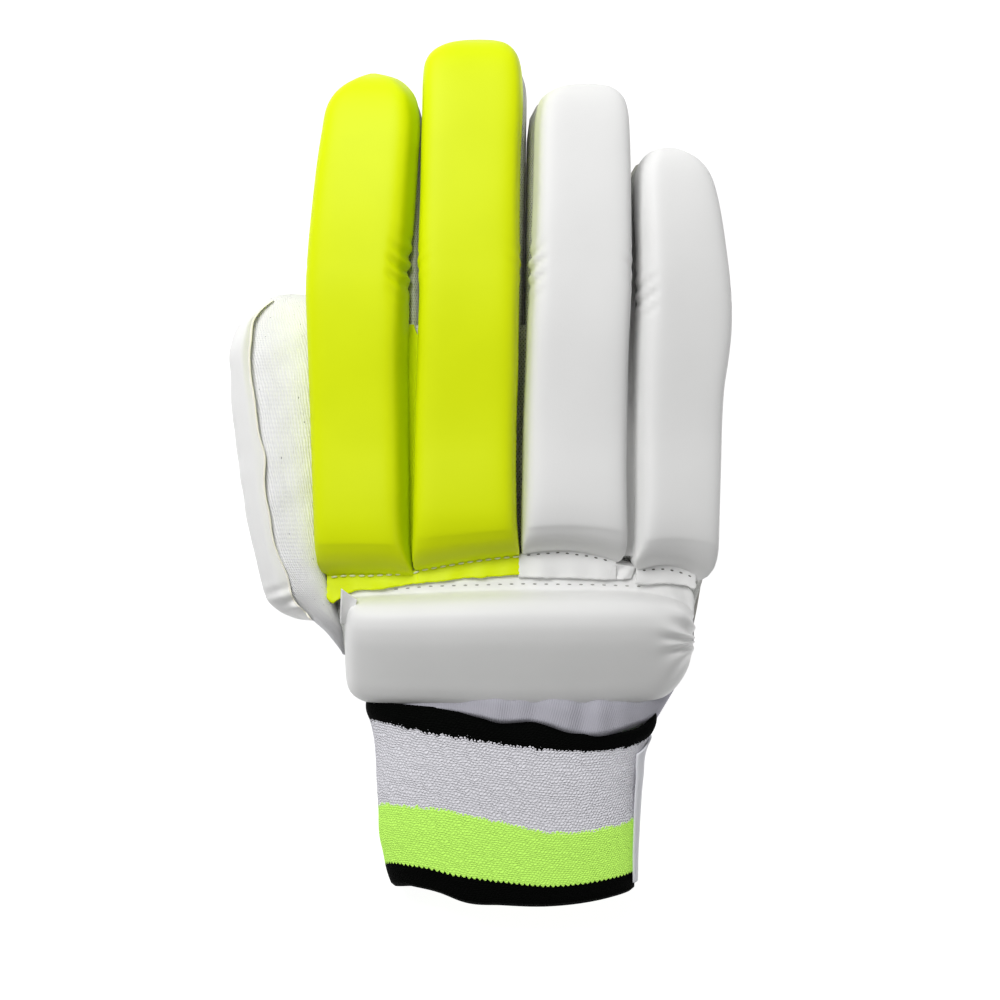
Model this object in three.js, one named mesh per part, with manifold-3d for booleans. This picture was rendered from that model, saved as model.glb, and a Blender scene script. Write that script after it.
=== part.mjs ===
import * as THREE from 'three';
import { mergeVertices } from 'three/addons/utils/BufferGeometryUtils.js';
import Module from 'manifold-3d';

// A right-hand cricket batting glove lying palm down, with the back of the hand up.
// +Y points to the fingertips, +Z points up and the thumb is on the -X side.
// Lengths are in millimetres and angles in degrees.

// Walls and clearances
const palmLeather = 1.5;
const meshWall = 1.5;
const thumbKnit = 2;
const liningWall = 1.5;
const cuffWall = 3;
const tabSheet = 1.3;
const closureSheet = 1.8;
const clear = 0.4;

// Back of the hand: height at its crown, sideways arch, and the arch of the pre-curved fingers
const handHeight = 22;
const crownX = 8.5;
const crownRadius = 275;
const fingerLift = 6;
const liftStartY = 5;
const creaseY = 70;
const webY = 50;
const backCorner = 7;
const stallCorner = 5;

// Wrist end of the palm and of the back
const palmEndY = -77;
const backEndY = -66;
const wristInset = 18;
const edgeInset = 2;

// Foam rolls: the middle one's place, then one row a finger
const middleX = -4.8;
const rollThickness = 19;
const rollShoulder = 6;
const rollFoot = 2.5;
const rollCrown = 1;
const stallShort = 3;
const indexWidth = 34.5;
const indexLength = 170.7;
const indexSeamY = -34.9;
const indexLean = 3.7;
const indexSpace = 0.7;
const indexTab = 4.5;
const middleWidth = 34.5;
const middleLength = 177.1;
const middleSeamY = -29.8;
const middleLean = 2.7;
const middleSpace = 0;
const middleTab = 6.2;
const ringWidth = 35;
const ringLength = 161.2;
const ringSeamY = -28.7;
const ringLean = 3.4;
const ringSpace = 1.3;
const ringTab = 7.3;
const littleWidth = 33;
const littleLength = 144.8;
const littleSeamY = -33.8;
const littleLean = 0;
const littleSpace = 0.7;
const littleTab = 5.4;
const fingers = table('name width length seamY lean space tab tone', [
  ['index', indexWidth, indexLength, indexSeamY, indexLean, indexSpace, indexTab, 'lime'],
  ['middle', middleWidth, middleLength, middleSeamY, middleLean, middleSpace, middleTab, 'lime'],
  ['ring', ringWidth, ringLength, ringSeamY, ringLean, ringSpace, ringTab, 'white'],
  ['little', littleWidth, littleLength, littleSeamY, littleLean, littleSpace, littleTab, 'white'],
]);

// Thumb stall and its guard pad
const thumbLength = 123;
const thumbBaseY = -62;
const thumbWidth = 23;
const thumbHeight = 23;
const thumbSpace = 0.6;
const thumbPad = 6;
const thumbPadTop = 2.5;
const thumbMouthHeight = 12.5;

// Wrist pad
const wristPadLength = 120;
const wristPadX = 13.2;
const wristPadWidth = 41;
const wristPadThickness = 15;

// Gathered lining below the wrist pad
const ruffleHeight = 2;

// Knitted cuff
const cuffX = 10.4;
const cuffWidth = 94.5;
const cuffHeight = 23.5;
const cuffLength = 69.5;
const cuffDip = 11;
const cuffDriftX = 1.3;
const closureWidth = 15;

// Sections of the rolls, a row each: place along the roll from its seam, left and right
// edges from the middle line as shares of the width, and height as a share of the thickness
const rollSections = {
  index: table('at left right rise', [
    [0, -0.33, 0.49, 0.08],
    [0.018, -0.42, 0.46, 0.42],
    [0.045, -0.46, 0.455, 0.82],
    [0.09, -0.475, 0.455, 0.98],
    [0.25, -0.525, 0.446, 1],
    [0.37, -0.557, 0.438, 1],
    [0.49, -0.59, 0.425, 0.99],
    [0.58, -0.605, 0.4, 0.94],
    [0.64, -0.591, 0.42, 0.97],
    [0.73, -0.562, 0.448, 0.99],
    [0.82, -0.517, 0.468, 0.98],
    [0.9, -0.46, 0.47, 0.93],
    [0.95, -0.38, 0.44, 0.83],
    [0.98, -0.235, 0.335, 0.66],
    [1, -0.06, 0.15, 0.4],
  ]),
  middle: table('at left right rise', [
    [0, -0.473, 0.493, 0.08],
    [0.018, -0.51, 0.505, 0.42],
    [0.045, -0.522, 0.508, 0.82],
    [0.09, -0.513, 0.5, 0.98],
    [0.27, -0.494, 0.481, 1],
    [0.42, -0.482, 0.488, 1],
    [0.53, -0.485, 0.495, 0.99],
    [0.59, -0.5, 0.508, 0.94],
    [0.65, -0.487, 0.489, 0.97],
    [0.75, -0.486, 0.486, 0.99],
    [0.86, -0.482, 0.5, 0.97],
    [0.92, -0.484, 0.495, 0.92],
    [0.95, -0.46, 0.47, 0.85],
    [0.98, -0.35, 0.41, 0.68],
    [1, -0.13, 0.27, 0.42],
  ]),
  ring: table('at left right rise', [
    [0, -0.476, 0.408, 0.08],
    [0.018, -0.5, 0.49, 0.42],
    [0.045, -0.506, 0.524, 0.82],
    [0.09, -0.503, 0.521, 0.98],
    [0.29, -0.485, 0.496, 1],
    [0.42, -0.487, 0.494, 1],
    [0.54, -0.48, 0.501, 0.99],
    [0.61, -0.496, 0.524, 0.94],
    [0.67, -0.483, 0.508, 0.97],
    [0.8, -0.476, 0.491, 0.98],
    [0.9, -0.477, 0.47, 0.95],
    [0.95, -0.46, 0.435, 0.86],
    [0.98, -0.375, 0.36, 0.68],
    [1, -0.13, 0.2, 0.42],
  ]),
  little: table('at left right rise', [
    [0, -0.381, 0.299, 0.08],
    [0.02, -0.43, 0.38, 0.42],
    [0.05, -0.458, 0.44, 0.82],
    [0.1, -0.462, 0.462, 0.98],
    [0.22, -0.453, 0.474, 1],
    [0.36, -0.443, 0.489, 1],
    [0.45, -0.43, 0.522, 0.99],
    [0.54, -0.415, 0.578, 0.96],
    [0.64, -0.412, 0.587, 0.94],
    [0.72, -0.412, 0.562, 0.97],
    [0.8, -0.412, 0.512, 0.97],
    [0.88, -0.402, 0.45, 0.93],
    [0.94, -0.365, 0.37, 0.84],
    [0.98, -0.265, 0.2, 0.66],
    [1, -0.14, 0.02, 0.42],
  ]),
};

// Finger stalls and palm strips: width and height as shares, rounding in at the tip
const stallSections = table('at wide rise', [
  [0, 1, 1],
  [0.2, 1, 1],
  [0.4, 1, 1],
  [0.6, 1, 1],
  [0.8, 0.99, 0.97],
  [0.9, 0.94, 0.88],
  [0.96, 0.8, 0.72],
  [1, 0.46, 0.45],
]);

// Hand from the wrist end to the web: share of the wrist inset left on each side
const handSections = table('at left right', [
  [0, 0.96, 0.92],
  [0.06, 0.78, 0.68],
  [0.13, 0.55, 0.46],
  [0.24, 0.3, 0.3],
  [0.36, 0.12, 0.16],
  [0.52, 0, 0.06],
  [0.68, 0, 0],
  [0.84, 0, 0],
  [1, 0, 0],
]);

// Thumb from its base to its tip: space to the hand and width as shares of the thumb's
// width, and height as a share of its height
const thumbSections = table('at away wide rise', [
  [0, 0, 0.2, 0.4],
  [0.06, 0, 0.42, 0.66],
  [0.12, 0, 0.66, 0.82],
  [0.2, 0, 0.86, 0.94],
  [0.34, 0, 0.98, 1],
  [0.5, 0, 1.02, 1],
  [0.66, 0, 1.03, 0.97],
  [0.8, 0, 1.01, 0.92],
  [0.9, 0, 0.97, 0.82],
  [0.96, 0.02, 0.8, 0.66],
  [1, 0.08, 0.52, 0.42],
]);

// Places along the thumb between which it opens to the hand
const thumbMouthPlaces = [0.07, 0.18, 0.34, 0.5];

// Guard pad round the thumb: its thickness, and the reach of its top edge over the thumb,
// as shares of the pad's thickness and of the thumb's width
const thumbPadSections = table('at thick reach', [
  [0.1, 0.3, 0.5],
  [0.14, 0.62, 0.42],
  [0.22, 0.9, 0.3],
  [0.36, 1, 0.24],
  [0.52, 1, 0.26],
  [0.68, 1, 0.2],
  [0.82, 0.98, 0.12],
  [0.9, 0.8, 0.12],
  [0.95, 0.34, 0.2],
]);

// Wrist pad from its left end to its right end: upper and lower edges as shares of the
// width, height as a share of the thickness
const wristPadSections = table('at upper lower rise', [
  [0, -0.3, 0.62, 0.3],
  [0.02, -0.18, 0.78, 0.66],
  [0.06, -0.1, 0.93, 0.9],
  [0.14, -0.04, 0.98, 1],
  [0.28, -0.01, 1, 1],
  [0.45, 0, 1, 1],
  [0.62, 0, 0.985, 1],
  [0.76, 0, 0.965, 0.98],
  [0.86, 0, 0.93, 0.93],
  [0.9, 0, 0.9, 0.82],
  [0.93, 0, 0.87, 0.86],
  [0.97, -0.02, 0.78, 0.7],
  [1, -0.08, 0.6, 0.34],
]);

// Profile across the wrist pad from its upper edge: sewn flange, foam, lower roll
const wristPadProfile = table('across height', [
  [0, 0],
  [0, 0.09],
  [0.1, 0.1],
  [0.16, 0.42],
  [0.25, 0.72],
  [0.4, 0.93],
  [0.58, 1],
  [0.76, 0.96],
  [0.9, 0.78],
  [0.98, 0.48],
  [1, 0.2],
  [0.96, 0.02],
  [0.6, 0],
  [0.3, 0],
]);

// Folds of the gathered lining: place across it, half width, and height
const ruffles = table('at half rise', [
  [0.12, 0.05, 0.3],
  [0.27, 0.045, 0.4],
  [0.4, 0.04, 0.7],
  [0.5, 0.035, 0.55],
  [0.59, 0.035, 0.9],
  [0.68, 0.03, 0.6],
  [0.76, 0.035, 1],
  [0.85, 0.03, 0.7],
]);

// Cuff from its hand end to its mouth: width and height as shares
const cuffSections = table('at wide rise', [
  [0, 0.99, 0.9],
  [0.05, 1.01, 0.93],
  [0.1, 1, 0.95],
  [0.2, 0.985, 0.97],
  [0.4, 0.965, 1],
  [0.6, 0.95, 1],
  [0.8, 0.94, 1],
  [0.92, 0.92, 0.98],
  [1, 0.885, 0.94],
]);

// Slanting ends of the cuff on the back of the hand: place across it, and how far the
// hand end and the mouth lie below and above their lowest levels, as shares of the dip
const cuffEnds = table('at hand mouth', [
  [0, 0, 0.66],
  [0.2, 0.12, 0.42],
  [0.4, 0.3, 0.12],
  [0.6, 0.65, 0],
  [0.82, 1, 0.14],
  [1, 0.55, 0.42],
]);

// Helper for the tables above
function table(columns, rows) {
  const names = columns.split(' ');
  return rows.map((row) => Object.fromEntries(names.map((name, i) => [name, row[i]])));
}

// Value of one column at a place along a table, with straight lines between its rows
function along(rows, place, column) {
  const next = rows.findIndex((row) => row.at >= place);
  if (next <= 0) {
    return rows[next < 0 ? rows.length - 1 : 0][column];
  }
  const from = rows[next - 1];
  const to = rows[next];
  const share = (place - from.at) / (to.at - from.at);
  return THREE.MathUtils.lerp(from[column], to[column], share);
}

// Surface levels
function backZ(x) {
  return handHeight - (x - crownX) ** 2 / (2 * crownRadius);
}

function lift(y, tipY) {
  if (y <= creaseY) {
    return fingerLift * THREE.MathUtils.smoothstep(y, liftStartY, creaseY);
  }
  return fingerLift * (1 - ((y - creaseY) / (tipY - creaseY)) ** 2);
}

// Closed bodies from rows of points
function closedBody(points, triangles) {
  const position = new Float32Array(points.length * 3);
  points.forEach((point, i) => point.toArray(position, 3 * i));
  const volume = triangles.reduce((sum, [a, b, c]) => {
    const edge = new THREE.Vector3().crossVectors(points[b], points[c]);
    return sum + points[a].dot(edge);
  }, 0);
  const outward = volume > 0 ? triangles : triangles.map(([a, b, c]) => [a, c, b]);
  const geometry = new THREE.BufferGeometry();
  geometry.setAttribute('position', new THREE.BufferAttribute(position, 3));
  geometry.setIndex(outward.flat());
  return geometry;
}

// A solid through closed rings of equal count, with a fan over each end
function loft(rings) {
  const count = rings[0].length;
  const points = rings.flat();
  const triangles = [];
  for (let i = 0; i < rings.length - 1; i += 1) {
    for (let j = 0; j < count; j += 1) {
      const a = i * count + j;
      const b = i * count + ((j + 1) % count);
      triangles.push([a, b, a + count], [b, b + count, a + count]);
    }
  }
  for (const end of [0, rings.length - 1]) {
    const centre = rings[end].reduce((sum, point) => sum.add(point), new THREE.Vector3());
    const middle = points.push(centre.divideScalar(count)) - 1;
    for (let j = 0; j < count; j += 1) {
      const a = end * count + j;
      const b = end * count + ((j + 1) % count);
      triangles.push(end === 0 ? [b, a, middle] : [a, b, middle]);
    }
  }
  return closedBody(points, triangles);
}

// A sheet between an upper and a lower grid of points
function sheet(upper, lower, isTube = false) {
  const rows = upper.length;
  const columns = upper[0].length;
  const points = [...upper.flat(), ...lower.flat()];
  const under = rows * columns;
  const triangles = [];
  const quad = (a, b, c, d) => triangles.push([a, b, c], [a, c, d]);
  const last = isTube ? columns : columns - 1;
  for (let i = 0; i < rows - 1; i += 1) {
    for (let j = 0; j < last; j += 1) {
      const k = (j + 1) % columns;
      const a = i * columns + j;
      const b = i * columns + k;
      quad(a, b, b + columns, a + columns);
      quad(under + a, under + a + columns, under + b + columns, under + b);
    }
  }
  for (let j = 0; j < last; j += 1) {
    const k = (j + 1) % columns;
    const end = (rows - 1) * columns;
    quad(j, under + j, under + k, k);
    quad(end + j, end + k, under + end + k, under + end + j);
  }
  for (let i = 0; !isTube && i < rows - 1; i += 1) {
    const a = i * columns;
    const b = a + columns - 1;
    quad(a, a + columns, under + a + columns, under + a);
    quad(b, under + b, under + b + columns, b + columns);
  }
  return closedBody(points, triangles);
}

// Joins and cuts
const wasm = await Module();
wasm.setup();

function asSolid(geometry) {
  const bare = geometry.clone();
  bare.deleteAttribute('normal');
  bare.deleteAttribute('uv');
  const merged = mergeVertices(bare, 1e-4);
  return new wasm.Manifold(new wasm.Mesh({
    numProp: 3,
    vertProperties: Float32Array.from(merged.attributes.position.array),
    triVerts: Uint32Array.from(merged.index.array),
  }));
}

function asGeometry(solid) {
  const mesh = solid.getMesh();
  const geometry = new THREE.BufferGeometry();
  const position = Float32Array.from(mesh.vertProperties);
  geometry.setAttribute('position', new THREE.BufferAttribute(position, 3));
  geometry.setIndex(Array.from(mesh.triVerts));
  return geometry;
}

// Finger middle lines, from the middle finger outwards
function middleLines() {
  const [index, middle, ring, little] = fingers;
  const pitch = (a, b, space) => (a.width + b.width) / 2 + space;
  middle.seamX = middleX;
  index.seamX = middle.seamX - pitch(index, middle, index.space);
  ring.seamX = middle.seamX + pitch(middle, ring, ring.space);
  little.seamX = ring.seamX + pitch(ring, little, little.space);
  fingers.forEach((finger) => {
    finger.tipY = finger.seamY + finger.length;
  });
}

function middleAt(finger, y) {
  return finger.seamX + finger.lean * (y - finger.seamY) / finger.length;
}

// Line between two neighbouring fingers, or outer edge of the first or last one
function fingerEdge(number, y) {
  const left = fingers[number - 1];
  const right = fingers[number];
  if (!left) {
    return middleAt(right, y) - right.width / 2 + edgeInset;
  }
  if (!right) {
    return middleAt(left, y) + left.width / 2 - edgeInset;
  }
  const leftEdge = middleAt(left, y) + left.width / 2;
  const rightEdge = middleAt(right, y) - right.width / 2;
  return (leftEdge + rightEdge) / 2;
}

// Foam rolls
function cushionSection(left, right, height) {
  const shoulder = Math.min(rollShoulder, 0.45 * height, 0.3 * (right - left));
  const foot = Math.min(rollFoot, 0.3 * height);
  const crown = rollCrown * height / rollThickness;
  const points = [];
  const arc = (x, z, radius, start, steps) => {
    for (let i = 0; i <= steps; i += 1) {
      const turn = THREE.MathUtils.degToRad(start + 90 * i / steps);
      points.push([x + radius * Math.cos(turn), z + radius * Math.sin(turn)]);
    }
  };
  const top = height - crown;
  arc(right - foot, foot, foot, -90, 1);
  arc(right - shoulder, top - shoulder, shoulder, 0, 3);
  points.push([THREE.MathUtils.lerp(left, right, 0.64), height]);
  points.push([THREE.MathUtils.lerp(left, right, 0.36), height]);
  arc(left + shoulder, top - shoulder, shoulder, 90, 3);
  arc(left + foot, foot, foot, 180, 1);
  return points;
}

function rollRing(finger, y, leftEdge, rightEdge, height) {
  const x = middleAt(finger, y);
  const tilt = Math.asin((x - crownX) / crownRadius);
  const lean = Math.max(height - rollShoulder, 0) * Math.sin(tilt);
  const left = (leftEdge * finger.width - Math.min(lean, 0)) / Math.cos(tilt);
  const right = (rightEdge * finger.width - Math.max(lean, 0)) / Math.cos(tilt);
  const floor = backZ(x) + lift(y, finger.tipY) + clear;
  return cushionSection(left, right, height).map(([across, up]) => new THREE.Vector3(
    x + across * Math.cos(tilt) + up * Math.sin(tilt),
    y,
    floor - across * Math.sin(tilt) + up * Math.cos(tilt),
  ));
}

function foamRoll(finger) {
  const rows = rollSections[finger.name];
  const tabY = finger.seamY - finger.tab;
  const rings = [rollRing(finger, tabY, rows[0].left, rows[0].right, tabSheet)];
  rows.forEach(({ at, left, right, rise }) => {
    const height = Math.max(rise * rollThickness, tabSheet);
    const y = finger.seamY + at * finger.length;
    rings.push(rollRing(finger, y, left, right, height));
  });
  return loft(rings);
}

// Outline of a hood over a stretch of the back: up one side, across and down the other
function hoodPath(left, right, foot, rise, corner, inset) {
  const top = (x) => foot + (backZ(x) - foot) * rise - inset;
  const radius = Math.min(corner, 0.3 * (right - left)) - inset * 0.5;
  const points = [[left + inset, foot], [left + inset, (foot + top(left) - radius) / 2]];
  for (let i = 0; i <= 2; i += 1) {
    const turn = THREE.MathUtils.degToRad(180 - 45 * i);
    const x = left + inset + radius * (1 + Math.cos(turn));
    points.push([x, top(x) - radius * (1 - Math.sin(turn))]);
  }
  for (const share of [0.25, 0.5, 0.75]) {
    const x = THREE.MathUtils.lerp(left + inset + radius, right - inset - radius, share);
    points.push([x, top(x)]);
  }
  for (let i = 0; i <= 2; i += 1) {
    const turn = THREE.MathUtils.degToRad(90 - 45 * i);
    const x = right - inset - radius * (1 - Math.cos(turn));
    points.push([x, top(x) - radius * (1 - Math.sin(turn))]);
  }
  points.push([right - inset, (foot + top(right) - radius) / 2], [right - inset, foot]);
  return points;
}

// Finger stalls: fabric hoods with closed tips, open at the web and towards the palm
function stallEdges(number, at, wide, inset) {
  const finger = fingers[number];
  const y = THREE.MathUtils.lerp(webY + clear, finger.tipY - stallShort - inset, at);
  const left = fingerEdge(number, y) + clear;
  const right = fingerEdge(number + 1, y) - clear;
  const middle = (left + right) / 2;
  const half = (right - left) / 2 * wide;
  return { y, left: middle - half, right: middle + half, raised: lift(y, finger.tipY) };
}

function stallBody(number, inset) {
  const foot = palmLeather + clear;
  const rings = stallSections.map(({ at, wide, rise }) => {
    const { y, left, right, raised } = stallEdges(number, at, wide, inset);
    const path = hoodPath(left, right, foot, rise, stallCorner, inset);
    const drop = inset > 0 ? palmLeather : 0;
    const start = inset > 0 && at === 0 ? inset : 0;
    return path.map(([x, z], i) => {
      const isFoot = i === 0 || i === path.length - 1;
      return new THREE.Vector3(x, y - start, z + raised - (isFoot ? drop : 0));
    });
  });
  return asSolid(loft(rings));
}

function fingerStall(number) {
  return asGeometry(stallBody(number, 0).subtract(stallBody(number, meshWall)));
}

// Hand outline between the wrist end and the web
function handEdges(at) {
  const y = THREE.MathUtils.lerp(palmEndY, webY, at);
  const left = fingerEdge(0, y) + wristInset * along(handSections, at, 'left');
  const right = fingerEdge(4, y) - wristInset * along(handSections, at, 'right');
  return { y, left, right, raised: lift(y, creaseY) };
}

// Palm: one leather panel with a strip under each finger
function palmPanel() {
  const row = ({ y, left, right, raised }, z) => [left, (left + right) / 2, right].map(
    (x) => new THREE.Vector3(x, y, raised + z),
  );
  const body = handSections.map(({ at }) => handEdges(at));
  const panel = sheet(body.map((edges) => row(edges, palmLeather)), body.map((e) => row(e, 0)));
  return asGeometry(fingers.reduce((joined, finger, number) => {
    const rows = stallSections.map(({ at, wide }) => stallEdges(number, at, wide, 0));
    const overlap = webY - 4;
    rows.unshift({ ...rows[0], y: overlap, raised: lift(overlap, finger.tipY) });
    const strip = sheet(rows.map((e) => row(e, palmLeather)), rows.map((e) => row(e, 0)));
    return joined.add(asSolid(strip));
  }, asSolid(panel)));
}

// Thumb stall: a knitted pouch beside the hand, open to the hand near its base
function thumbEdges(at) {
  const y = thumbBaseY + at * thumbLength;
  const palmShare = (y - palmEndY) / (webY - palmEndY);
  const hand = y < webY ? handEdges(palmShare).left : fingerEdge(0, y);
  const right = hand - thumbSpace - thumbWidth * along(thumbSections, at, 'away');
  const left = right - thumbWidth * along(thumbSections, at, 'wide');
  return { y, left, right, height: thumbHeight * along(thumbSections, at, 'rise') };
}

// An oval with full sides
function ovalPoint(turn, y, left, right, low, high) {
  const across = Math.sign(Math.cos(turn)) * Math.abs(Math.cos(turn)) ** 0.8;
  const up = Math.sign(Math.sin(turn)) * Math.abs(Math.sin(turn)) ** 0.8;
  const x = (left + right + across * (right - left)) / 2;
  return new THREE.Vector3(x, y, (low + high + up * (high - low)) / 2);
}

function ovalRing(y, left, right, low, high, count) {
  const turns = Array.from({ length: count }, (_, i) => 2 * Math.PI * (i + 0.5) / count);
  return turns.map((turn) => ovalPoint(turn, y, left, right, low, high));
}

function thumbBody(inset) {
  return asSolid(loft(thumbSections.map(({ at }, i) => {
    const { y, left, right, height } = thumbEdges(at);
    const end = i === 0 ? inset : i === thumbSections.length - 1 ? -inset : 0;
    return ovalRing(y + end, left + inset, right - inset, inset, height - inset, 16);
  })));
}

// The way from the thumb into the hand
function thumbMouth() {
  return asSolid(loft(thumbMouthPlaces.map((at) => {
    const { y, left, right } = thumbEdges(at);
    const low = palmLeather + clear;
    const inner = (left + right) / 2;
    return ovalRing(y, inner, right + thumbSpace + 3 * meshWall, low, low + thumbMouthHeight, 12);
  })));
}

function thumbStall() {
  return asGeometry(thumbBody(0).subtract(thumbBody(thumbKnit)).subtract(thumbMouth()));
}

// Guard pad on the outer side of the thumb
function thumbGuard() {
  const outer = asSolid(loft(thumbPadSections.map(({ at, thick }) => {
    const { y, left, right, height } = thumbEdges(at);
    return ovalRing(y, left - thumbPad * thick, right, 0, height + thumbPadTop * thick, 20);
  })));
  const room = asSolid(loft(thumbSections.map(({ at }, i) => {
    const { y, left, right, height } = thumbEdges(at);
    const end = i === 0 ? -clear : i === thumbSections.length - 1 ? clear : 0;
    return ovalRing(y + end, left - clear, right + clear, -clear, height + clear, 16);
  })));
  const beyond = asSolid(loft(thumbPadSections.map(({ at, reach }, i) => {
    const { y, left, right } = thumbEdges(at);
    const end = i === 0 ? -1 : i === thumbPadSections.length - 1 ? 1 : 0;
    const edge = left + thumbWidth * reach;
    const low = -thumbHeight;
    return [[edge, low], [right + thumbWidth, low], [right + thumbWidth, 3 * thumbHeight],
      [edge, 3 * thumbHeight]].map(([x, z]) => new THREE.Vector3(x, y + end, z));
  })));
  return asGeometry(outer.subtract(room).subtract(beyond));
}

// Back of the hand: an arched mesh panel standing on the palm's edges
function backPanel() {
  const foot = palmLeather + clear;
  const start = (backEndY - palmEndY) / (webY - palmEndY);
  const places = [start, ...handSections.map(({ at }) => at).filter((at) => at > start + 0.02)];
  const grid = (inset) => places.map((at) => {
    const { y, left, right, raised } = handEdges(at);
    const path = hoodPath(left, right, foot, 1, backCorner, inset);
    return path.map(([x, z]) => new THREE.Vector3(x, y, z + raised));
  });
  return asGeometry(asSolid(sheet(grid(0), grid(meshWall))).subtract(thumbMouth()));
}

// Wrist pad across the back of the wrist, just below the tabs of the rolls
function wristPadTop() {
  return Math.min(...fingers.map(({ seamY, tab }) => seamY - tab)) - 2 * clear;
}

function wristPad() {
  const top = wristPadTop();
  return loft(wristPadSections.map(({ at, upper, lower, rise }) => {
    const x = wristPadX + (at - 0.5) * wristPadLength;
    return wristPadProfile.map(({ across, height }) => {
      const share = THREE.MathUtils.lerp(Math.max(-upper, 0), lower, across);
      const y = top - wristPadWidth * share;
      return new THREE.Vector3(x, y, backZ(x) + clear + wristPadThickness * rise * height);
    });
  }));
}

// Hand end and mouth of the cuff, on the back of the hand and on the palm side
function cuffY(share, at, up) {
  const hand = palmEndY - 3 * clear - cuffDip * along(cuffEnds, share, 'hand') * up;
  const mouth = palmEndY - 3 * clear - cuffLength + cuffDip * along(cuffEnds, share, 'mouth');
  return THREE.MathUtils.lerp(hand, mouth, at);
}

// Gathered lining between the back panel and the cuff
function gatheredLining() {
  const { left, right } = handEdges((backEndY - palmEndY) / (webY - palmEndY));
  const columns = 44;
  const rows = [0, 0.3, 0.55, 0.8, 1];
  const foot = palmLeather + clear;
  const padEnd = wristPadTop() - wristPadWidth;
  const fold = (share) => ruffles.reduce((sum, { at, half, rise }) => {
    const away = Math.min(Math.abs(share - at) / half, 1);
    return sum + rise * Math.cos(Math.PI / 2 * away) ** 2;
  }, 0);
  const grid = (inset) => rows.map((down) => {
    const low = cuffX - cuffWidth / 2;
    const endLeft = low + edgeInset;
    const endRight = THREE.MathUtils.lerp(right, low + cuffWidth, down);
    const from = THREE.MathUtils.lerp(left, endLeft, down);
    const path = hoodPath(from, endRight, foot, 1, backCorner, inset);
    const curve = new THREE.CurvePath();
    path.slice(1).forEach(([x, z], i) => {
      const start = new THREE.Vector3(path[i][0], 0, path[i][1]);
      curve.add(new THREE.LineCurve3(start, new THREE.Vector3(x, 0, z)));
    });
    return Array.from({ length: columns + 1 }, (_, i) => {
      const share = i / columns;
      const point = curve.getPointAt(share);
      const across = THREE.MathUtils.clamp((point.x - low) / cuffWidth, 0, 1);
      const up = THREE.MathUtils.clamp(point.z / handHeight, 0, 1);
      const end = cuffY(across, 0, up) + 2 * clear;
      const y = THREE.MathUtils.lerp(backEndY - clear, end, down);
      const beyondPad = THREE.MathUtils.clamp(2 * (padEnd - y) / cuffDip, 0, 1);
      const raised = ruffleHeight * fold(share) * beyondPad;
      return new THREE.Vector3(point.x, y, point.z + raised * up);
    });
  });
  return sheet(grid(0), grid(liningWall));
}

// A point on the cuff, or out from it
function cuffPoint({ at, wide, rise }, turn, out) {
  const half = cuffWidth * wide / 2 + out;
  const middle = cuffX + cuffDriftX * at;
  const point = ovalPoint(turn, 0, middle - half, middle + half, -out, cuffHeight * rise + out);
  const share = THREE.MathUtils.clamp((point.x - cuffX) / cuffWidth + 0.5, 0, 1);
  const up = THREE.MathUtils.clamp(point.z / cuffHeight, 0, 1);
  point.y = cuffY(share, at, up);
  return point;
}

// Knitted cuff: a flattened tube with slanting ends
function knittedCuff() {
  const count = 40;
  const turns = Array.from({ length: count }, (_, i) => 2 * Math.PI * (i + 0.5) / count);
  const rings = (out) => cuffSections.map((row) => turns.map((turn) => cuffPoint(row, turn, out)));
  return sheet(rings(0), rings(-cuffWall), true);
}

// Closure strip up the right-hand side of the cuff
function closureStrip() {
  const reach = closureWidth / cuffHeight;
  const turns = [-1, -0.6, -0.2, 0.2, 0.6, 1].map((share) => share * reach);
  const rows = cuffSections.slice(1, -1);
  const grid = (out) => rows.map((row) => turns.map((turn) => cuffPoint(row, turn, out)));
  return sheet(grid(clear + closureSheet), grid(clear));
}

// Finishes
const colours = {
  lime: { color: 0xdcf224, roughness: 0.45 },
  white: { color: 0xe6e6e4, roughness: 0.45 },
  leather: { color: 0xe9e7e0, roughness: 0.6 },
  mesh: { color: 0xd9dcd6, roughness: 0.9 },
  knit: { color: 0xf0f0f0, roughness: 0.95 },
  lining: { color: 0xe4e4ea, roughness: 0.9 },
  cuff: { color: 0xc9c9d1, roughness: 0.95 },
};

// The glove
const glove = new THREE.Group();

function add(name, geometry, finish) {
  const material = new THREE.MeshStandardMaterial({ metalness: 0, ...colours[finish] });
  geometry.computeVertexNormals();
  const mesh = new THREE.Mesh(geometry, material);
  mesh.name = name;
  glove.add(mesh);
}

middleLines();
add('palm', palmPanel(), 'leather');
add('back_panel', backPanel(), 'mesh');
fingers.forEach((finger, number) => {
  add(`${finger.name}_stall`, fingerStall(number), 'mesh');
  add(`${finger.name}_roll`, foamRoll(finger), finger.tone);
});
add('thumb_stall', thumbStall(), 'knit');
add('thumb_pad', thumbGuard(), 'white');
add('wrist_pad', wristPad(), 'white');
add('gathered_lining', gatheredLining(), 'lining');
add('cuff', knittedCuff(), 'cuff');
add('cuff_closure', closureStrip(), 'white');

// Origin under the middle of the glove, on the surface that it lies on
const box = new THREE.Box3().setFromObject(glove);
const centre = box.getCenter(new THREE.Vector3());
glove.position.set(-centre.x, -centre.y, -box.min.z);

export default glove;
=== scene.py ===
import math

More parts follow.
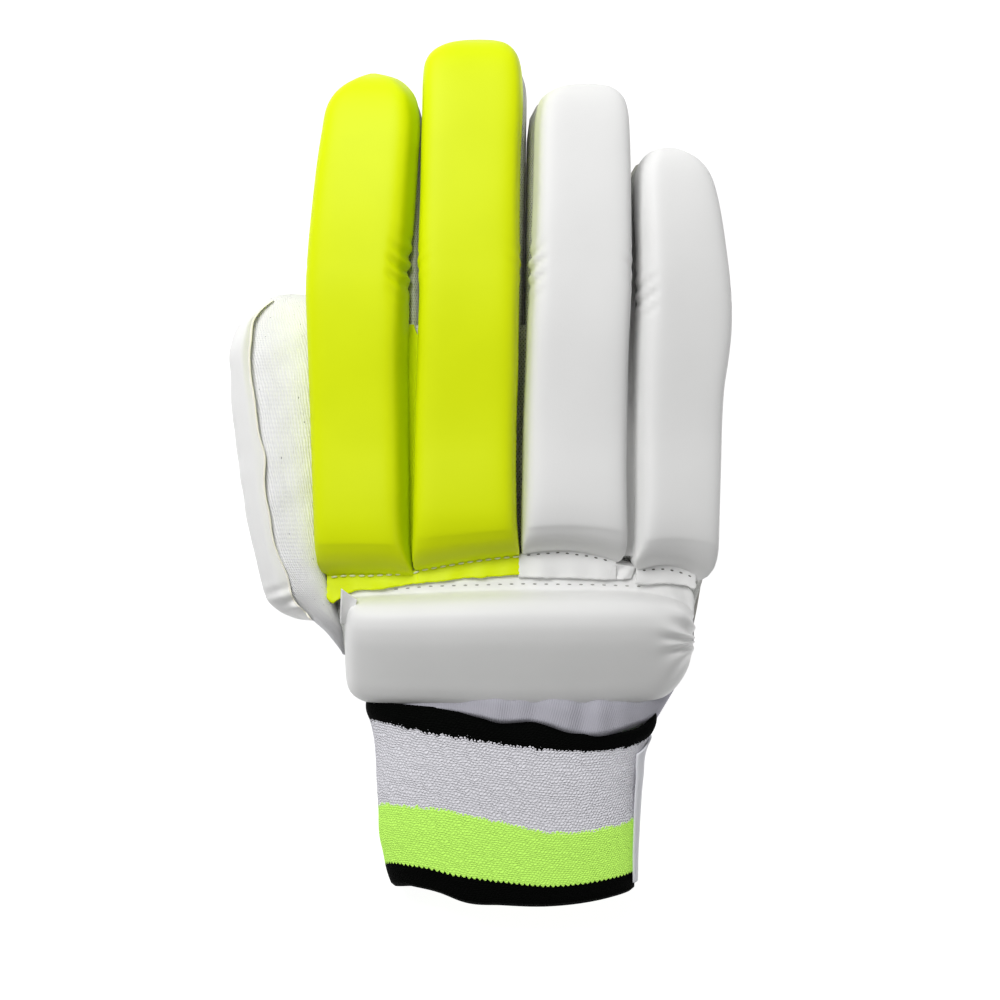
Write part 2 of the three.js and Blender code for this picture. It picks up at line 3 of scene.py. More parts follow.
import bpy
import numpy as np
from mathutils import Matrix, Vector


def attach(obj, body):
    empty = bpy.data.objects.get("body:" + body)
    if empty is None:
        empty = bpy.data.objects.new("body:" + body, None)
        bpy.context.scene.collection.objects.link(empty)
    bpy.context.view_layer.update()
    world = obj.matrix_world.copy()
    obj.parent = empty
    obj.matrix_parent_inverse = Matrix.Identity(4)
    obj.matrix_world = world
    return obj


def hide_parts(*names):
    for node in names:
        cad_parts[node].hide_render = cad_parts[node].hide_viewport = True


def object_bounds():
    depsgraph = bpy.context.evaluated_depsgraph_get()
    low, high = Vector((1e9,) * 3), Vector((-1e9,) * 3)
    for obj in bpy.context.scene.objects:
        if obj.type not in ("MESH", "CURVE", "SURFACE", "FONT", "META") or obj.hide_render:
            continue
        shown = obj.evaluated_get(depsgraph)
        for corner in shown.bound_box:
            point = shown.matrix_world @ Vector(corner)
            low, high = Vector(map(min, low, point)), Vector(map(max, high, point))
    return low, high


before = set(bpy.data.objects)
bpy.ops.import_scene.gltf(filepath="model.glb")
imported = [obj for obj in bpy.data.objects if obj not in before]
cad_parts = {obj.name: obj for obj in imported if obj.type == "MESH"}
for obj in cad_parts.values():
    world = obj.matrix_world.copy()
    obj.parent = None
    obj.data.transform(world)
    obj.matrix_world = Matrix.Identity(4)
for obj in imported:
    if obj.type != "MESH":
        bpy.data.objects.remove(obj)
cad_low, cad_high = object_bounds()

# The glove lies palm down, with its fingers to +Y and its thumb to -X.
# Lengths below are in millimetres and turn into metres where a mesh gets its points.
# A place read in the photograph is a column and a row of its 1000 by 1000 pixels.
METRE = 1000
PIXEL = 0.34
PHOTO_SIDE = 1000
MIDDLE_COLUMN = 480
MIDDLE_ROW = 472.5

# Back of the hand, as in the frame
HAND_HEIGHT = 22
CROWN_X = 8.1
CROWN_RADIUS = 275
FINGER_LIFT = 6
LIFT_START_Y = 5
CREASE_Y = 70
PALM_LEATHER = 1.5
CLEAR = 0.4


def across(column):
    """X of a column of the photograph."""
    return (np.asarray(column, float) - MIDDLE_COLUMN) * PIXEL


def upward(row):
    """Y of a row of the photograph."""
    return (MIDDLE_ROW - np.asarray(row, float)) * PIXEL


def smoothstep(low, high, value):
    share = np.clip((value - low) / (high - low), 0, 1)
    return share * share * (3 - 2 * share)


def back_height(x):
    """Height of the back of the hand over the floor."""
    return HAND_HEIGHT - (x - CROWN_X) ** 2 / (2 * CROWN_RADIUS)


def hand_lift(y):
    """How far the hand rises off the floor on the way to the bend of the fingers."""
    return FINGER_LIFT * smoothstep(LIFT_START_Y, CREASE_Y, y)


def lift(y, tip_y):
    """How far the pre-curved fingers arch off the floor."""
    beyond = np.clip((y - CREASE_Y) / (tip_y - CREASE_Y), 0, 1.2)
    return np.where(y < CREASE_Y, hand_lift(y), FINGER_LIFT * (1 - beyond ** 2))


def curve(at, knots, values):
    """Smooth curve through the rows of a table."""
    knots = np.asarray(knots, float)
    values = np.asarray(values, float)
    slopes = np.gradient(values, knots)
    at = np.clip(at, knots[0], knots[-1])
    i = np.clip(np.searchsorted(knots, at) - 1, 0, len(knots) - 2)
    span = knots[i + 1] - knots[i]
    s = (at - knots[i]) / span
    return ((2 * s ** 3 - 3 * s ** 2 + 1) * values[i] + (s ** 3 - 2 * s ** 2 + s) * span * slopes[i]
            + (3 * s ** 2 - 2 * s ** 3) * values[i + 1] + (s ** 3 - s ** 2) * span * slopes[i + 1])


def table(columns, rows):
    """A table as one array for each named column, with even knots along it."""
    made = {name: np.array([row[i] for row in rows], float) for i, name in enumerate(columns.split())}
    made["knot"] = np.linspace(0, 1, len(rows))
    return made


def along(rows, name, at):
    return curve(at, rows["knot"], rows[name])


def waves(a, b, size, seed):
    """Gentle unevenness between -1 and 1 over a surface, for two lengths in millimetres."""
    turns = np.random.default_rng(seed).uniform(0, 2 * math.pi, (6, 2))
    total = 0
    for i, (heading, phase) in enumerate(turns):
        pace = 2 * math.pi / (size * (0.7 + 0.25 * i))
        total = total + np.sin(pace * (a * math.cos(heading) + b * math.sin(heading)) + phase)
    return total / 6


# Making pieces
def lay_grid(name, columns, rows, form, joined=False):
    """A grid primitive laid over a form, which turns shares across and along into millimetres."""
    bpy.ops.object.select_all(action="DESELECT")
    bpy.ops.mesh.primitive_grid_add(x_subdivisions=columns, y_subdivisions=rows, size=1)
    piece = bpy.context.object
    piece.name = name
    piece.data.name = name
    flat = np.empty(len(piece.data.vertices) * 3)
    piece.data.vertices.foreach_get("co", flat)
    shares = np.clip(flat.reshape(-1, 3)[:, :2] + 0.5, 0, 1)
    points = np.stack(np.broadcast_arrays(*form(shares[:, 0], shares[:, 1])), axis=1)
    piece.data.vertices.foreach_set("co", (points / METRE).ravel())
    bpy.ops.object.mode_set(mode="EDIT")
    bpy.ops.mesh.select_all(action="SELECT")
    if joined:
        bpy.ops.mesh.remove_doubles(threshold=0.000005)
    bpy.ops.mesh.normals_make_consistent(inside=False)
    bpy.ops.object.mode_set(mode="OBJECT")
    bpy.ops.object.shade_smooth()
    return piece


def face_up(piece):
    """Turns an open sheet so that its outer side looks away from the floor."""
    total = sum(face.normal.z * face.area for face in piece.data.polygons)
    if total < 0:
        bpy.ops.object.mode_set(mode="EDIT")
        bpy.ops.mesh.select_all(action="SELECT")
        bpy.ops.mesh.flip_normals()
        bpy.ops.object.mode_set(mode="OBJECT")


def thicken(piece, wall):
    """Gives an open sheet its wall, inwards from its outer side."""
    face_up(piece)
    modifier = piece.modifiers.new("wall", "SOLIDIFY")
    modifier.thickness = wall / METRE
    modifier.offset = -1
    modifier.use_even_offset = False
    bpy.context.view_layer.objects.active = piece
    bpy.ops.object.modifier_apply(modifier=modifier.name)


def settle(piece, slot, material, *nodes):
    """Gives a finished piece its body and its finish, and hides the CAD nodes that it stands for; the slot
    argument is not used.
    """
    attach(piece, "root")
    piece.data.materials.clear()
    piece.data.materials.append(material)
    if nodes:
        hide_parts(*nodes)
    return piece


# Colours and finishes
def tone(code):
    """An sRGB hex colour as linear red, green, blue and alpha."""
    parts = [int(code[i:i + 2], 16) / 255 for i in (1, 3, 5)]
    linear = [c / 12.92 if c <= 0.04045 else ((c + 0.055) / 1.055) ** 2.4 for c in parts]
    return (*linear, 1)


def add_node(tree, kind, links=(), **settings):
    """Adds a node, sets its properties and inputs, and links (input, output socket) pairs."""
    made = tree.nodes.new(kind)
    for name, value in settings.items():
        if name.startswith("in_"):
            key = name[3:]
            made.inputs[int(key) if key.isdigit() else key.replace("_", " ")].default_value = value
        else:
            setattr(made, name, value)
    for key, socket in links:
        tree.links.new(made.inputs[key], socket)
    return made


def new_finish(name):
    material = bpy.data.materials.new(name)
    material.use_nodes = True
    tree = material.node_tree
    return material, tree, tree.nodes["Principled BSDF"]


def coated_cloth(name, code, shade):
    """PU-coated cloth over foam: smooth satin skin with a very fine grain and faint mottling."""
    material, tree, skin = new_finish(name)
    place = add_node(tree, "ShaderNodeTexCoord").outputs["Object"]
    mottle = add_node(tree, "ShaderNodeTexNoise", [("Vector", place)], in_Scale=55, in_Detail=3)
    # Grain pits of PU skin are about 0.3 mm, drawn at 0.5 mm so that they show
    grain = add_node(tree, "ShaderNodeTexNoise", [("Vector", place)], in_Scale=2000, in_Detail=2)
    mix = add_node(tree, "ShaderNodeMix", [("Factor", mottle.outputs["Fac"])], data_type="RGBA")
    mix.inputs["A"].default_value = tone(code)
    mix.inputs["B"].default_value = tone(shade)
    tree.links.new(skin.inputs["Base Color"], mix.outputs["Result"])
    bump = add_node(tree, "ShaderNodeBump", [("Height", grain.outputs["Fac"])],
                    in_Strength=0.12, in_Distance=0.0002)
    tree.links.new(skin.inputs["Normal"], bump.outputs["Normal"])
    skin.inputs["Roughness"].default_value = 0.5
    skin.inputs["Specular IOR Level"].default_value = 0.2
    return material


LIME_VINYL = coated_cloth("lime_pu_coated_cloth", "#E3F300", "#DCED00")
WHITE_VINYL = coated_cloth("white_pu_coated_cloth", "#F1F1F0", "#ECECEB")


# Foam rolls: outline read in the photograph, a row each from the knuckle seam to the tip,
# with the top and the underside of the roll as shares of its thickness
ROLL_THICKNESS = 19
ROLL_SQUARENESS = 6
ROLLS = {
    "index": table("row left right top under", [
        (578, 331, 414, 0.06, 0), (575, 327, 415, 0.16, 0), (571, 321.5, 415, 0.36, 0),
        (564, 318, 414.5, 0.57, 0), (556, 316.5, 414, 0.72, 0), (548, 315.5, 413.5, 0.82, 0),
        (541, 315, 413, 0.885, 0), (525, 314.5, 413, 0.945, 0),
        (505, 313.9, 413, 0.973, 0), (480, 313, 413, 0.986, 0),
        (430, 311.5, 412.5, 0.995, 0), (370, 309.5, 412, 1, 0), (325, 308, 413, 0.995, 0),
        (292, 307, 414, 0.985, 0), (266, 308, 415, 0.98, 0), (240, 310, 417, 0.985, 0),
        (205, 313.5, 419.5, 0.99, 0), (165, 318, 422, 0.99, 0), (132, 323, 424, 0.98, 0),
        (110, 327, 422.5, 0.955, 0.01), (96, 334, 418.5, 0.905, 0.03), (86, 344, 411, 0.82, 0.07),
        (79, 356, 402, 0.7, 0.13), (75, 365, 391, 0.53, 0.2), (72.6, 373, 379, 0.38, 0.36)]),
    "middle": table("row left right top under", [
        (563, 418, 519, 0.06, 0), (560, 415.5, 519.5, 0.16, 0), (557, 414, 520, 0.36, 0),
        (551, 413, 520, 0.57, 0), (544, 413, 519.5, 0.72, 0), (536, 413.5, 519, 0.82, 0),
        (529, 414, 518.5, 0.885, 0), (515, 414.5, 518, 0.945, 0),
        (497, 414.9, 517.8, 0.973, 0), (470, 415.5, 517.5, 0.986, 0),
        (420, 416.5, 518, 0.995, 0), (370, 418.5, 519.5, 1, 0), (325, 420, 520, 0.995, 0),
        (292, 421, 520.5, 0.985, 0), (264, 419.5, 522, 0.98, 0), (238, 420.5, 521, 0.985, 0),
        (200, 422, 521, 0.99, 0), (150, 423, 522, 0.98, 0), (108, 424, 524, 0.98, 0),
        (80, 424.5, 523.5, 0.955, 0.01), (62, 427, 521, 0.905, 0.03), (51, 434.5, 516, 0.82, 0.07),
        (44, 447, 508, 0.7, 0.13), (40.5, 462, 496, 0.53, 0.2), (39.3, 479, 480, 0.38, 0.36)]),
    "ring": table("row left right top under", [
        (560, 524, 616, 0.06, 0), (557, 522, 619, 0.16, 0), (554, 520.5, 622, 0.36, 0),
        (548, 519.5, 625, 0.57, 0), (541, 519, 626.5, 0.72, 0), (533, 519, 627, 0.82, 0),
        (526, 519, 627, 0.885, 0), (510, 519, 626.5, 0.945, 0),
        (492, 519.4, 626.3, 0.973, 0), (465, 520, 626, 0.986, 0),
        (415, 521, 626.5, 0.995, 0), (365, 523, 627.5, 1, 0), (325, 524.5, 629, 0.995, 0),
        (296, 526, 630.5, 0.985, 0), (268, 525.5, 631.5, 0.98, 0), (243, 528, 631, 0.985, 0),
        (205, 530, 630.5, 0.99, 0), (165, 531, 630, 0.98, 0), (130, 532, 629, 0.98, 0),
        (112, 534, 627.5, 0.955, 0.01), (100, 538, 624, 0.905, 0.03), (92, 546, 618, 0.82, 0.07),
        (86.5, 557, 609, 0.7, 0.13), (84, 570, 598, 0.53, 0.2), (83, 583, 584, 0.38, 0.36)]),
    "little": table("row left right top under", [
        (575, 640, 699, 0.06, 0), (572, 636, 704, 0.16, 0), (568, 632, 709, 0.36, 0),
        (562, 628, 714, 0.57, 0), (554, 627.5, 717, 0.72, 0), (546, 627.5, 718.5, 0.82, 0),
        (538, 627.5, 719, 0.885, 0), (520, 627.5, 719.4, 0.945, 0),
        (498, 627.3, 720, 0.973, 0), (465, 627, 721, 0.986, 0),
        (425, 627, 722, 0.995, 0), (390, 627.5, 724, 1, 0), (362, 628, 728, 0.995, 0),
        (335, 629, 731, 0.985, 0), (306, 630, 731.5, 0.98, 0), (278, 630.5, 729.5, 0.98, 0),
        (250, 631, 726, 0.985, 0), (222, 630, 722, 0.985, 0), (196, 630, 717, 0.97, 0),
        (178, 631, 711.5, 0.945, 0.01), (166, 634, 704.5, 0.9, 0.03), (157, 640, 695, 0.82, 0.07),
        (151, 647, 684, 0.7, 0.13), (147.5, 655, 674, 0.53, 0.2), (146.5, 663, 666, 0.38, 0.36)]),
}
ROLL_CREASE_ROW = {"index": 268, "middle": 264, "ring": 268, "little": 296}
# How the knuckle end of each roll slants and bows, in rows of the photograph
ROLL_ENDS = {"index": (0, 1.5, -1), "middle": (-8, 1, 2), "ring": (4, 7, -6), "little": (4.5, 9, -6)}
# How far the shoulders of each roll step in towards its top, left and right
ROLL_SHOULDERS = {"index": (1.6, 2.8), "middle": (1.2, 0.7), "ring": (1.6, 0.5), "little": (2.6, 1.0)}
# How strongly the skin puckers at the bend of the finger, left and right
ROLL_PUCKERS = {"index": (0.1, 1.5), "middle": (0.5, 0.5), "ring": (1.3, 0.45), "little": (1.0, 0.1)}


def signed_power(value, power):
    return np.sign(value) * np.abs(value) ** power


def way_along(x, y):
    """Distance along a line of points from its start."""
    return np.concatenate([[0], np.cumsum(np.hypot(np.diff(x), np.diff(y)))])


def even_steps(share, side, height, weight):
    """Side and height at even shares of a curve's length, in which heights count for less."""
    length = way_along(side, weight * height)
    length /= length[-1]
    return np.interp(share, length, side), np.interp(share, length, height)


def squircle(share, squareness):
    """Even steps round a rounded bar, from the middle of its underside, as -1 to 1 both ways."""
    turn = np.linspace(0, 2 * math.pi, 1441) - math.pi / 2
    power = 2 / squareness
    return even_steps(share, signed_power(np.cos(turn), power), signed_power(np.sin(turn), power), 0.6)


def hood(share, power):
    """Even steps from the left foot over the back to the right foot: place across, and height."""
    turn = np.linspace(math.pi, 0, 1441)
    return even_steps(share, signed_power(np.cos(turn), power), np.abs(np.sin(turn)) ** power, 0.4)


def roll_form(name):
    rows = ROLLS[name]
    tip_y = float(upward(rows["row"][-1]))

    def form(around, at):
        row = along(rows, "row", at)
        y = upward(row)
        left = across(along(rows, "left", at))
        right = across(along(rows, "right", at))
        top = ROLL_THICKNESS * along(rows, "top", at)
        under = ROLL_THICKNESS * along(rows, "under", at)
        middle = (left + right) / 2
        tilt = np.arcsin((middle - CROWN_X) / CROWN_RADIUS)
        lean = np.maximum(top - 5, 0) * np.sin(tilt)
        # Outline as seen from above: the foot on one side, the leaning shoulder on the other
        full = np.clip(top / ROLL_THICKNESS, 0, 1) ** 2
        soft_left, soft_right = ROLL_SHOULDERS[name][0] * full, ROLL_SHOULDERS[name][1] * full
        low_left = left - np.where(lean < 0, lean + soft_left, 0)
        low_right = right - np.where(lean > 0, lean - soft_right, 0)
        wide = (low_right - low_left) / 2
        foot = (low_left + low_right) / 2
        side, height = squircle(around, ROLL_SQUARENESS)
        # Drawn in a little where it is sewn down
        low = np.clip(-height, 0, 1)
        side = side * (1 - 0.02 * low ** 2 * (1 - at ** 8))
        # Puckers run slantwise in from the seam where the finger bends
        left_pucker, right_pucker = ROLL_PUCKERS[name]
        pucker = np.where(side < 0, left_pucker, right_pucker)
        crease = pucker * np.exp(-((row - ROLL_CREASE_ROW[name]) / (15 + 7 * pucker)) ** 2)
        folds = np.sin(row / 2.5 + 16 * (1 - np.abs(side)) + 1.8 * height)
        reach = smoothstep(0.72, 1, np.abs(side))
        drawn = reach * (1 - 0.45 * np.clip(height, 0, 1))
        side = side * (1 - crease * drawn * (0.022 + 0.034 * folds))
        # Small gathers where the skin turns down at the seam end and at the tip
        ends = np.exp(-((at - 0.06) / 0.05) ** 2) + np.exp(-((at - 0.97) / 0.035) ** 2)
        gathers = 0.1 * ends * np.sin(46 * side + 2 * np.sign(side)) * (np.abs(side) > 0.2)
        inward = np.clip((height + 1) / 2, 0, 1) ** 1.6
        slant, bow, shift = ROLL_ENDS[name]
        near = smoothstep(0.45, 0.05, at)
        end = near * (slant * side + bow * side ** 2 + shift)
        y = y - PIXEL * end
        x = wide * side + inward * (soft_left * (1 - side) / 2 - soft_right * (1 + side) / 2)
        z = (top + under) / 2 + (top - under) / 2 * height
        z = z + 0.22 * waves(x, y, 34, len(name)) * np.clip(height, 0, 1) + gathers * (height > 0)
        z = z - crease * reach * np.clip(height, 0, 1) * (1.0 + 0.9 * folds)
        base = back_height(middle) + lift(y, tip_y) + CLEAR
        return (foot + x * np.cos(tilt) + z * np.sin(tilt), y,
                base - x * np.sin(tilt) + z * np.cos(tilt))

    return form


def vinyl(finger):
    """Slot and finish of a finger's roll and tab."""
    if finger in ("index", "middle"):
        return "lime_vinyl", LIME_VINYL
    return "white_vinyl", WHITE_VINYL


for finger in ROLLS:
    skin = lay_grid(f"{finger}_roll_skin", 96, 150, roll_form(finger), joined=True)
    settle(skin, *vinyl(finger), f"{finger}_roll")


# Fabric and leather finishes
def uv_millimetres(tree, wide, long):
    """The piece's own UV map, stretched to millimetres."""
    uv = add_node(tree, "ShaderNodeTexCoord").outputs["UV"]
    scaled = add_node(tree, "ShaderNodeVectorMath", [(0, uv)], operation="MULTIPLY")
    scaled.inputs[1].default_value = (wide, long, 1)
    return scaled.outputs["Vector"]


def sine(tree, source, pace):
    """A wave between -1 and 1 along a value in millimetres."""
    turn = add_node(tree, "ShaderNodeMath", [(0, source)], operation="MULTIPLY", in_1=pace)
    return add_node(tree, "ShaderNodeMath", [(0, turn.outputs[0])], operation="SINE").outputs[0]


def join(tree, first, operation, second):
    made = add_node(tree, "ShaderNodeMath", [(0, first)], operation=operation)
    if isinstance(second, (int, float)):
        made.inputs[1].default_value = second
    else:
        tree.links.new(made.inputs[1], second)
    return made.outputs[0]


def raise_surface(tree, skin, height, distance, strength=1):
    bump = add_node(tree, "ShaderNodeBump", [("Height", height)], in_Distance=distance / METRE)
    bump.inputs["Strength"].default_value = strength
    tree.links.new(skin.inputs["Normal"], bump.outputs["Normal"])


def spacer_mesh(name, wide, long):
    """Warp-knitted polyester mesh: small round holes in staggered rows about 0.9 mm apart."""
    material, tree, skin = new_finish(name)
    axes = add_node(tree, "ShaderNodeSeparateXYZ", [("Vector", uv_millimetres(tree, wide, long))])
    hole = join(tree, sine(tree, axes.outputs["X"], 6.4), "MULTIPLY", sine(tree, axes.outputs["Y"], 4.6))
    # Painted shade: the holes are coloured darker grey, as shade inside them
    ramp = add_node(tree, "ShaderNodeValToRGB", [("Fac", hole)])
    ramp.color_ramp.elements[0].position = 0.42
    ramp.color_ramp.elements[0].color = tone("#E9EAE6")
    ramp.color_ramp.elements[1].position = 0.72
    ramp.color_ramp.elements[1].color = tone("#A9ABA5")
    tree.links.new(skin.inputs["Base Color"], ramp.outputs["Color"])
    skin.inputs["Roughness"].default_value = 0.85
    skin.inputs["Specular IOR Level"].default_value = 0.2
    raise_surface(tree, skin, join(tree, hole, "MULTIPLY", -1), 0.15)
    return material


def fine_rib(name, code, wide, long, pitch, depth, loopy=0.3, wander=2.5, slant=0):
    """Fine ribbed jersey: narrow ribs along the piece, loops across them, small pinholes."""
    material, tree, skin = new_finish(name)
    place = uv_millimetres(tree, wide, long)
    sway = add_node(tree, "ShaderNodeTexNoise", [("Vector", place)], in_Scale=0.25, in_Detail=3)
    axes = add_node(tree, "ShaderNodeSeparateXYZ", [("Vector", place)])
    swayed = join(tree, axes.outputs["X"], "ADD", join(tree, sway.outputs["Fac"], "MULTIPLY", wander))
    swayed = join(tree, swayed, "ADD", join(tree, axes.outputs["Y"], "MULTIPLY", slant))
    ribs = sine(tree, swayed, 2 * math.pi / pitch)
    loops = sine(tree, axes.outputs["Y"], 2 * math.pi / (0.8 * pitch))
    knit = join(tree, ribs, "ADD", join(tree, loops, "MULTIPLY", loopy))
    pinholes = add_node(tree, "ShaderNodeTexVoronoi", [("Vector", place)], in_Scale=0.42)
    open_knit = join(tree, pinholes.outputs["Distance"], "GREATER_THAN", 0.075)
    # Painted shade: the rib valleys are mixed a little towards grey and the pinholes are grey, as shade in
    # the low places and holes
    shade = join(tree, join(tree, knit, "MULTIPLY", 0.045), "ADD", 0.93)
    tint = add_node(tree, "ShaderNodeMix", [("Factor", join(tree, shade, "MULTIPLY", open_knit))],
                    data_type="RGBA", clamp_factor=True)
    tint.inputs[6].default_value = tone("#9A9A9E")
    tint.inputs[7].default_value = tone(code)
    tree.links.new(skin.inputs["Base Color"], tint.outputs[2])
    skin.inputs["Roughness"].default_value = 0.9
    skin.inputs["Specular IOR Level"].default_value = 0.1
    raise_surface(tree, skin, knit, depth)
    return material


def plain_finish(name, code, roughness, relief=0, pitch=400):
    """A finish that is the same all over, with a fine grain where it has relief."""
    material, tree, skin = new_finish(name)
    skin.inputs["Base Color"].default_value = tone(code)
    skin.inputs["Roughness"].default_value = roughness
    skin.inputs["Specular IOR Level"].default_value = 0.3
    if relief:
        place = add_node(tree, "ShaderNodeTexCoord").outputs["Object"]
        grain = add_node(tree, "ShaderNodeTexVoronoi", [("Vector", place)], in_Scale=pitch)
        raise_surface(tree, skin, grain.outputs["Distance"], relief, 0.6)
    return material


MESH = spacer_mesh("spacer_mesh", 62, 92)
BACK_MESH = spacer_mesh("spacer_mesh_back", 150, 120)
# Full-grain sheep leather of the palm, soft pebble about 1.5 mm across
PALM = plain_finish("white_sheep_leather", "#E9E7E0", 0.55, 0.25, 700)
# Bonded polyester thread
THREAD = plain_finish("pale_thread", "#F2F5CF", 0.6)
# Painted shade of needle holes: dark grey, and a lighter grey where the holes are shallow
HOLE_SHADE = plain_finish("needle_hole", "#6A6A66", 0.9)
SHALLOW_HOLE_SHADE = plain_finish("shallow_needle_hole", "#A3A39E", 0.9)
# Cotton backing that shows along a cut edge of the coated cloth
RAW_EDGE = plain_finish("cut_cloth_edge", "#F5F2E6", 0.8)
CLOSURE = plain_finish("closure_tape", "#E4E5EA", 0.6, 0.05, 2500)
THUMB_KNIT = fine_rib("thumb_rib_knit", "#F9F9FB", 66, 125, 0.95, 0.08, 0.35, 1.5, -0.3)
LINING = fine_rib("lining_jersey", "#B9B8C2", 130, 34, 0.8, 0.05, 0.05, 0.4)


# Finger stalls: mesh hoods under the rolls
STALLS = {
    "index": ((321, 418.3), (327, 423)), "middle": ((418.7, 522.8), (423.4, 528)),
    "ring": ((523.2, 627), (528.4, 630)), "little": ((627.4, 716), (630.4, 716)),
}
# How far the mesh stands up in the gaps between the rolls
GAP_PUFF = 4.5
WEB_ROW = 338
STALL_TIPS = {"index": 81.5, "middle": 47.5, "ring": 91.5, "little": 155}


def stall_form(web, tip, tip_row):
    tip_y = float(upward(tip_row))

    def form(around, at):
        run = 1 - (1 - at) ** 1.6
        row = WEB_ROW + (tip_row - WEB_ROW) * run
        y = upward(row)
        closing = np.clip((run - 0.8) / 0.2, 0, 1)
        wide = (1 - closing ** 2.6) ** (1 / 2.6)
        rise = (1 - closing ** 2.2) ** (1 / 2.4) * (1 - 0.12 * smoothstep(0.6, 1, run))
        left = across(web[0] + (tip[0] - web[0]) * run)
        right = across(web[1] + (tip[1] - web[1]) * run)
        middle = (left + right) / 2
        side, up = hood(around, 0.25)
        x = middle + (right - left) / 2 * wide * side
        foot = PALM_LEATHER + CLEAR
        top = foot + (back_height(x) - foot) * (0.25 + 0.75 * rise)
        z = foot + (top - foot) * up + lift(y, tip_y)
        puff = GAP_PUFF * smoothstep(0.7, 0.95, np.abs(side)) * smoothstep(0.7, 1, up) * (1 - closing)
        z = z + puff * (0.85 + 0.15 * waves(x, y, 9, len(web))) - 0.3 * up
        return x, y, z

    return form


for finger, (web, tip) in STALLS.items():
    stall = lay_grid(f"{finger}_mesh_stall", 72, 60, stall_form(web, tip, STALL_TIPS[finger]))
    thicken(stall, 1.3)
    settle(stall, "mesh_fabric", MESH, f"{finger}_stall")


# Edges of the hand from the web to the wrist
HAND = table("row left right", [
    (325, 323.5, 715.5), (360, 323, 714.5), (400, 322, 713.5), (440, 321, 713), (480, 320.5, 713),
    (520, 321.5, 713), (550, 324, 711), (580, 328, 705), (605, 333, 697), (630, 338, 692.5),
    (650, 343, 687), (666, 350, 679)])


def back_form(around, at):
    row = along(HAND, "row", at)
    y = upward(row)
    left = across(along(HAND, "left", at))
    right = across(along(HAND, "right", at))
    side, up = hood(around, 0.3)
    x = (left + right) / 2 + (right - left) / 2 * side
    foot = PALM_LEATHER + CLEAR
    z = foot + (back_height(x) - foot) * up + hand_lift(y)
    return x, y, z - 0.3 * (0.5 + 0.5 * waves(x, y, 20, 3))


back = lay_grid("mesh_back", 110, 90, back_form)
thicken(back, 1.4)
settle(back, "mesh_fabric", BACK_MESH, "back_panel")


# Thumb: knitted stall with a vinyl pad round its outer side
THUMB_HEIGHT = 23
THUMB_PAD_HEIGHT = 25.2
THUMB = table("row left right rise", [
    (657, 341, 346, 0.14), (652, 338.5, 346, 0.32), (643, 332, 345, 0.5), (633, 324, 343, 0.66),
    (624, 314, 340, 0.76), (612, 300, 336, 0.84), (595, 282, 332, 0.91), (575, 271, 327, 0.95),
    (550, 263, 324, 0.98), (510, 256, 321, 1),
    (465, 250, 320, 1), (420, 246, 320, 0.99), (380, 243, 320, 0.97), (350, 242, 320, 0.93),
    (330, 244, 320, 0.87), (315, 249, 319, 0.78), (304, 256, 317, 0.66), (297, 265, 313, 0.53),
    (291.5, 279, 304, 0.38)])


def shut(at, share):
    """1 along a tube, falling to 0 in a round end over the last share of it at both ends."""
    near = np.clip((share - np.minimum(at, 1 - at)) / share, 0, 1)
    return np.sqrt(np.clip(1 - near ** 2, 0, 1))


def thumb_form(around, at):
    row = along(THUMB, "row", at)
    y = upward(row)
    left = across(along(THUMB, "left", at))
    right = across(along(THUMB, "right", at))
    height = THUMB_HEIGHT * along(THUMB, "rise", at)
    side, up = squircle(around, 2.6)
    closing = shut(at, 0.015)
    x = (left + right) / 2 + (right - left) / 2 * side * closing
    z = height / 2 * (1 + up * closing) + 0.1
    slack = 0.5 * waves(x, y, 16, 8) * smoothstep(0.3, 1, up)
    return x, y, z + slack * np.clip(up, 0, 1)


thumb = lay_grid("thumb_knit_stall", 96, 150, thumb_form, joined=True)
settle(thumb, "thumb_knit", THUMB_KNIT, "thumb_stall")

THUMB_PAD = table("row outer inner rise", [
    (622, 303, 312, 0.12), (619, 291, 311, 0.42), (612, 277, 309, 0.7), (602, 267, 300, 0.9),
    (585, 260, 293, 0.98), (555, 252.5, 284, 1), (525, 246, 276, 1), (495, 241, 271, 1),
    (465, 236.5, 267.5, 1), (435, 233, 264, 1), (405, 230, 260, 1), (375, 228, 257, 1),
    (355, 227, 252.5, 0.99), (342, 229, 250.5, 0.97), (332, 232.5, 250.5, 0.93),
    (322, 238, 252.5, 0.87), (314, 244.5, 256, 0.79), (307, 252, 261, 0.7), (301.5, 260, 267, 0.6),
    (298, 267, 271, 0.5)])
# Share of the way round that is the pad's outside, and the rows of its dimple and its curled end
PAD_OUTSIDE = 0.62
DIMPLE_ROW = 329
CURL_ROWS = (575, 606)


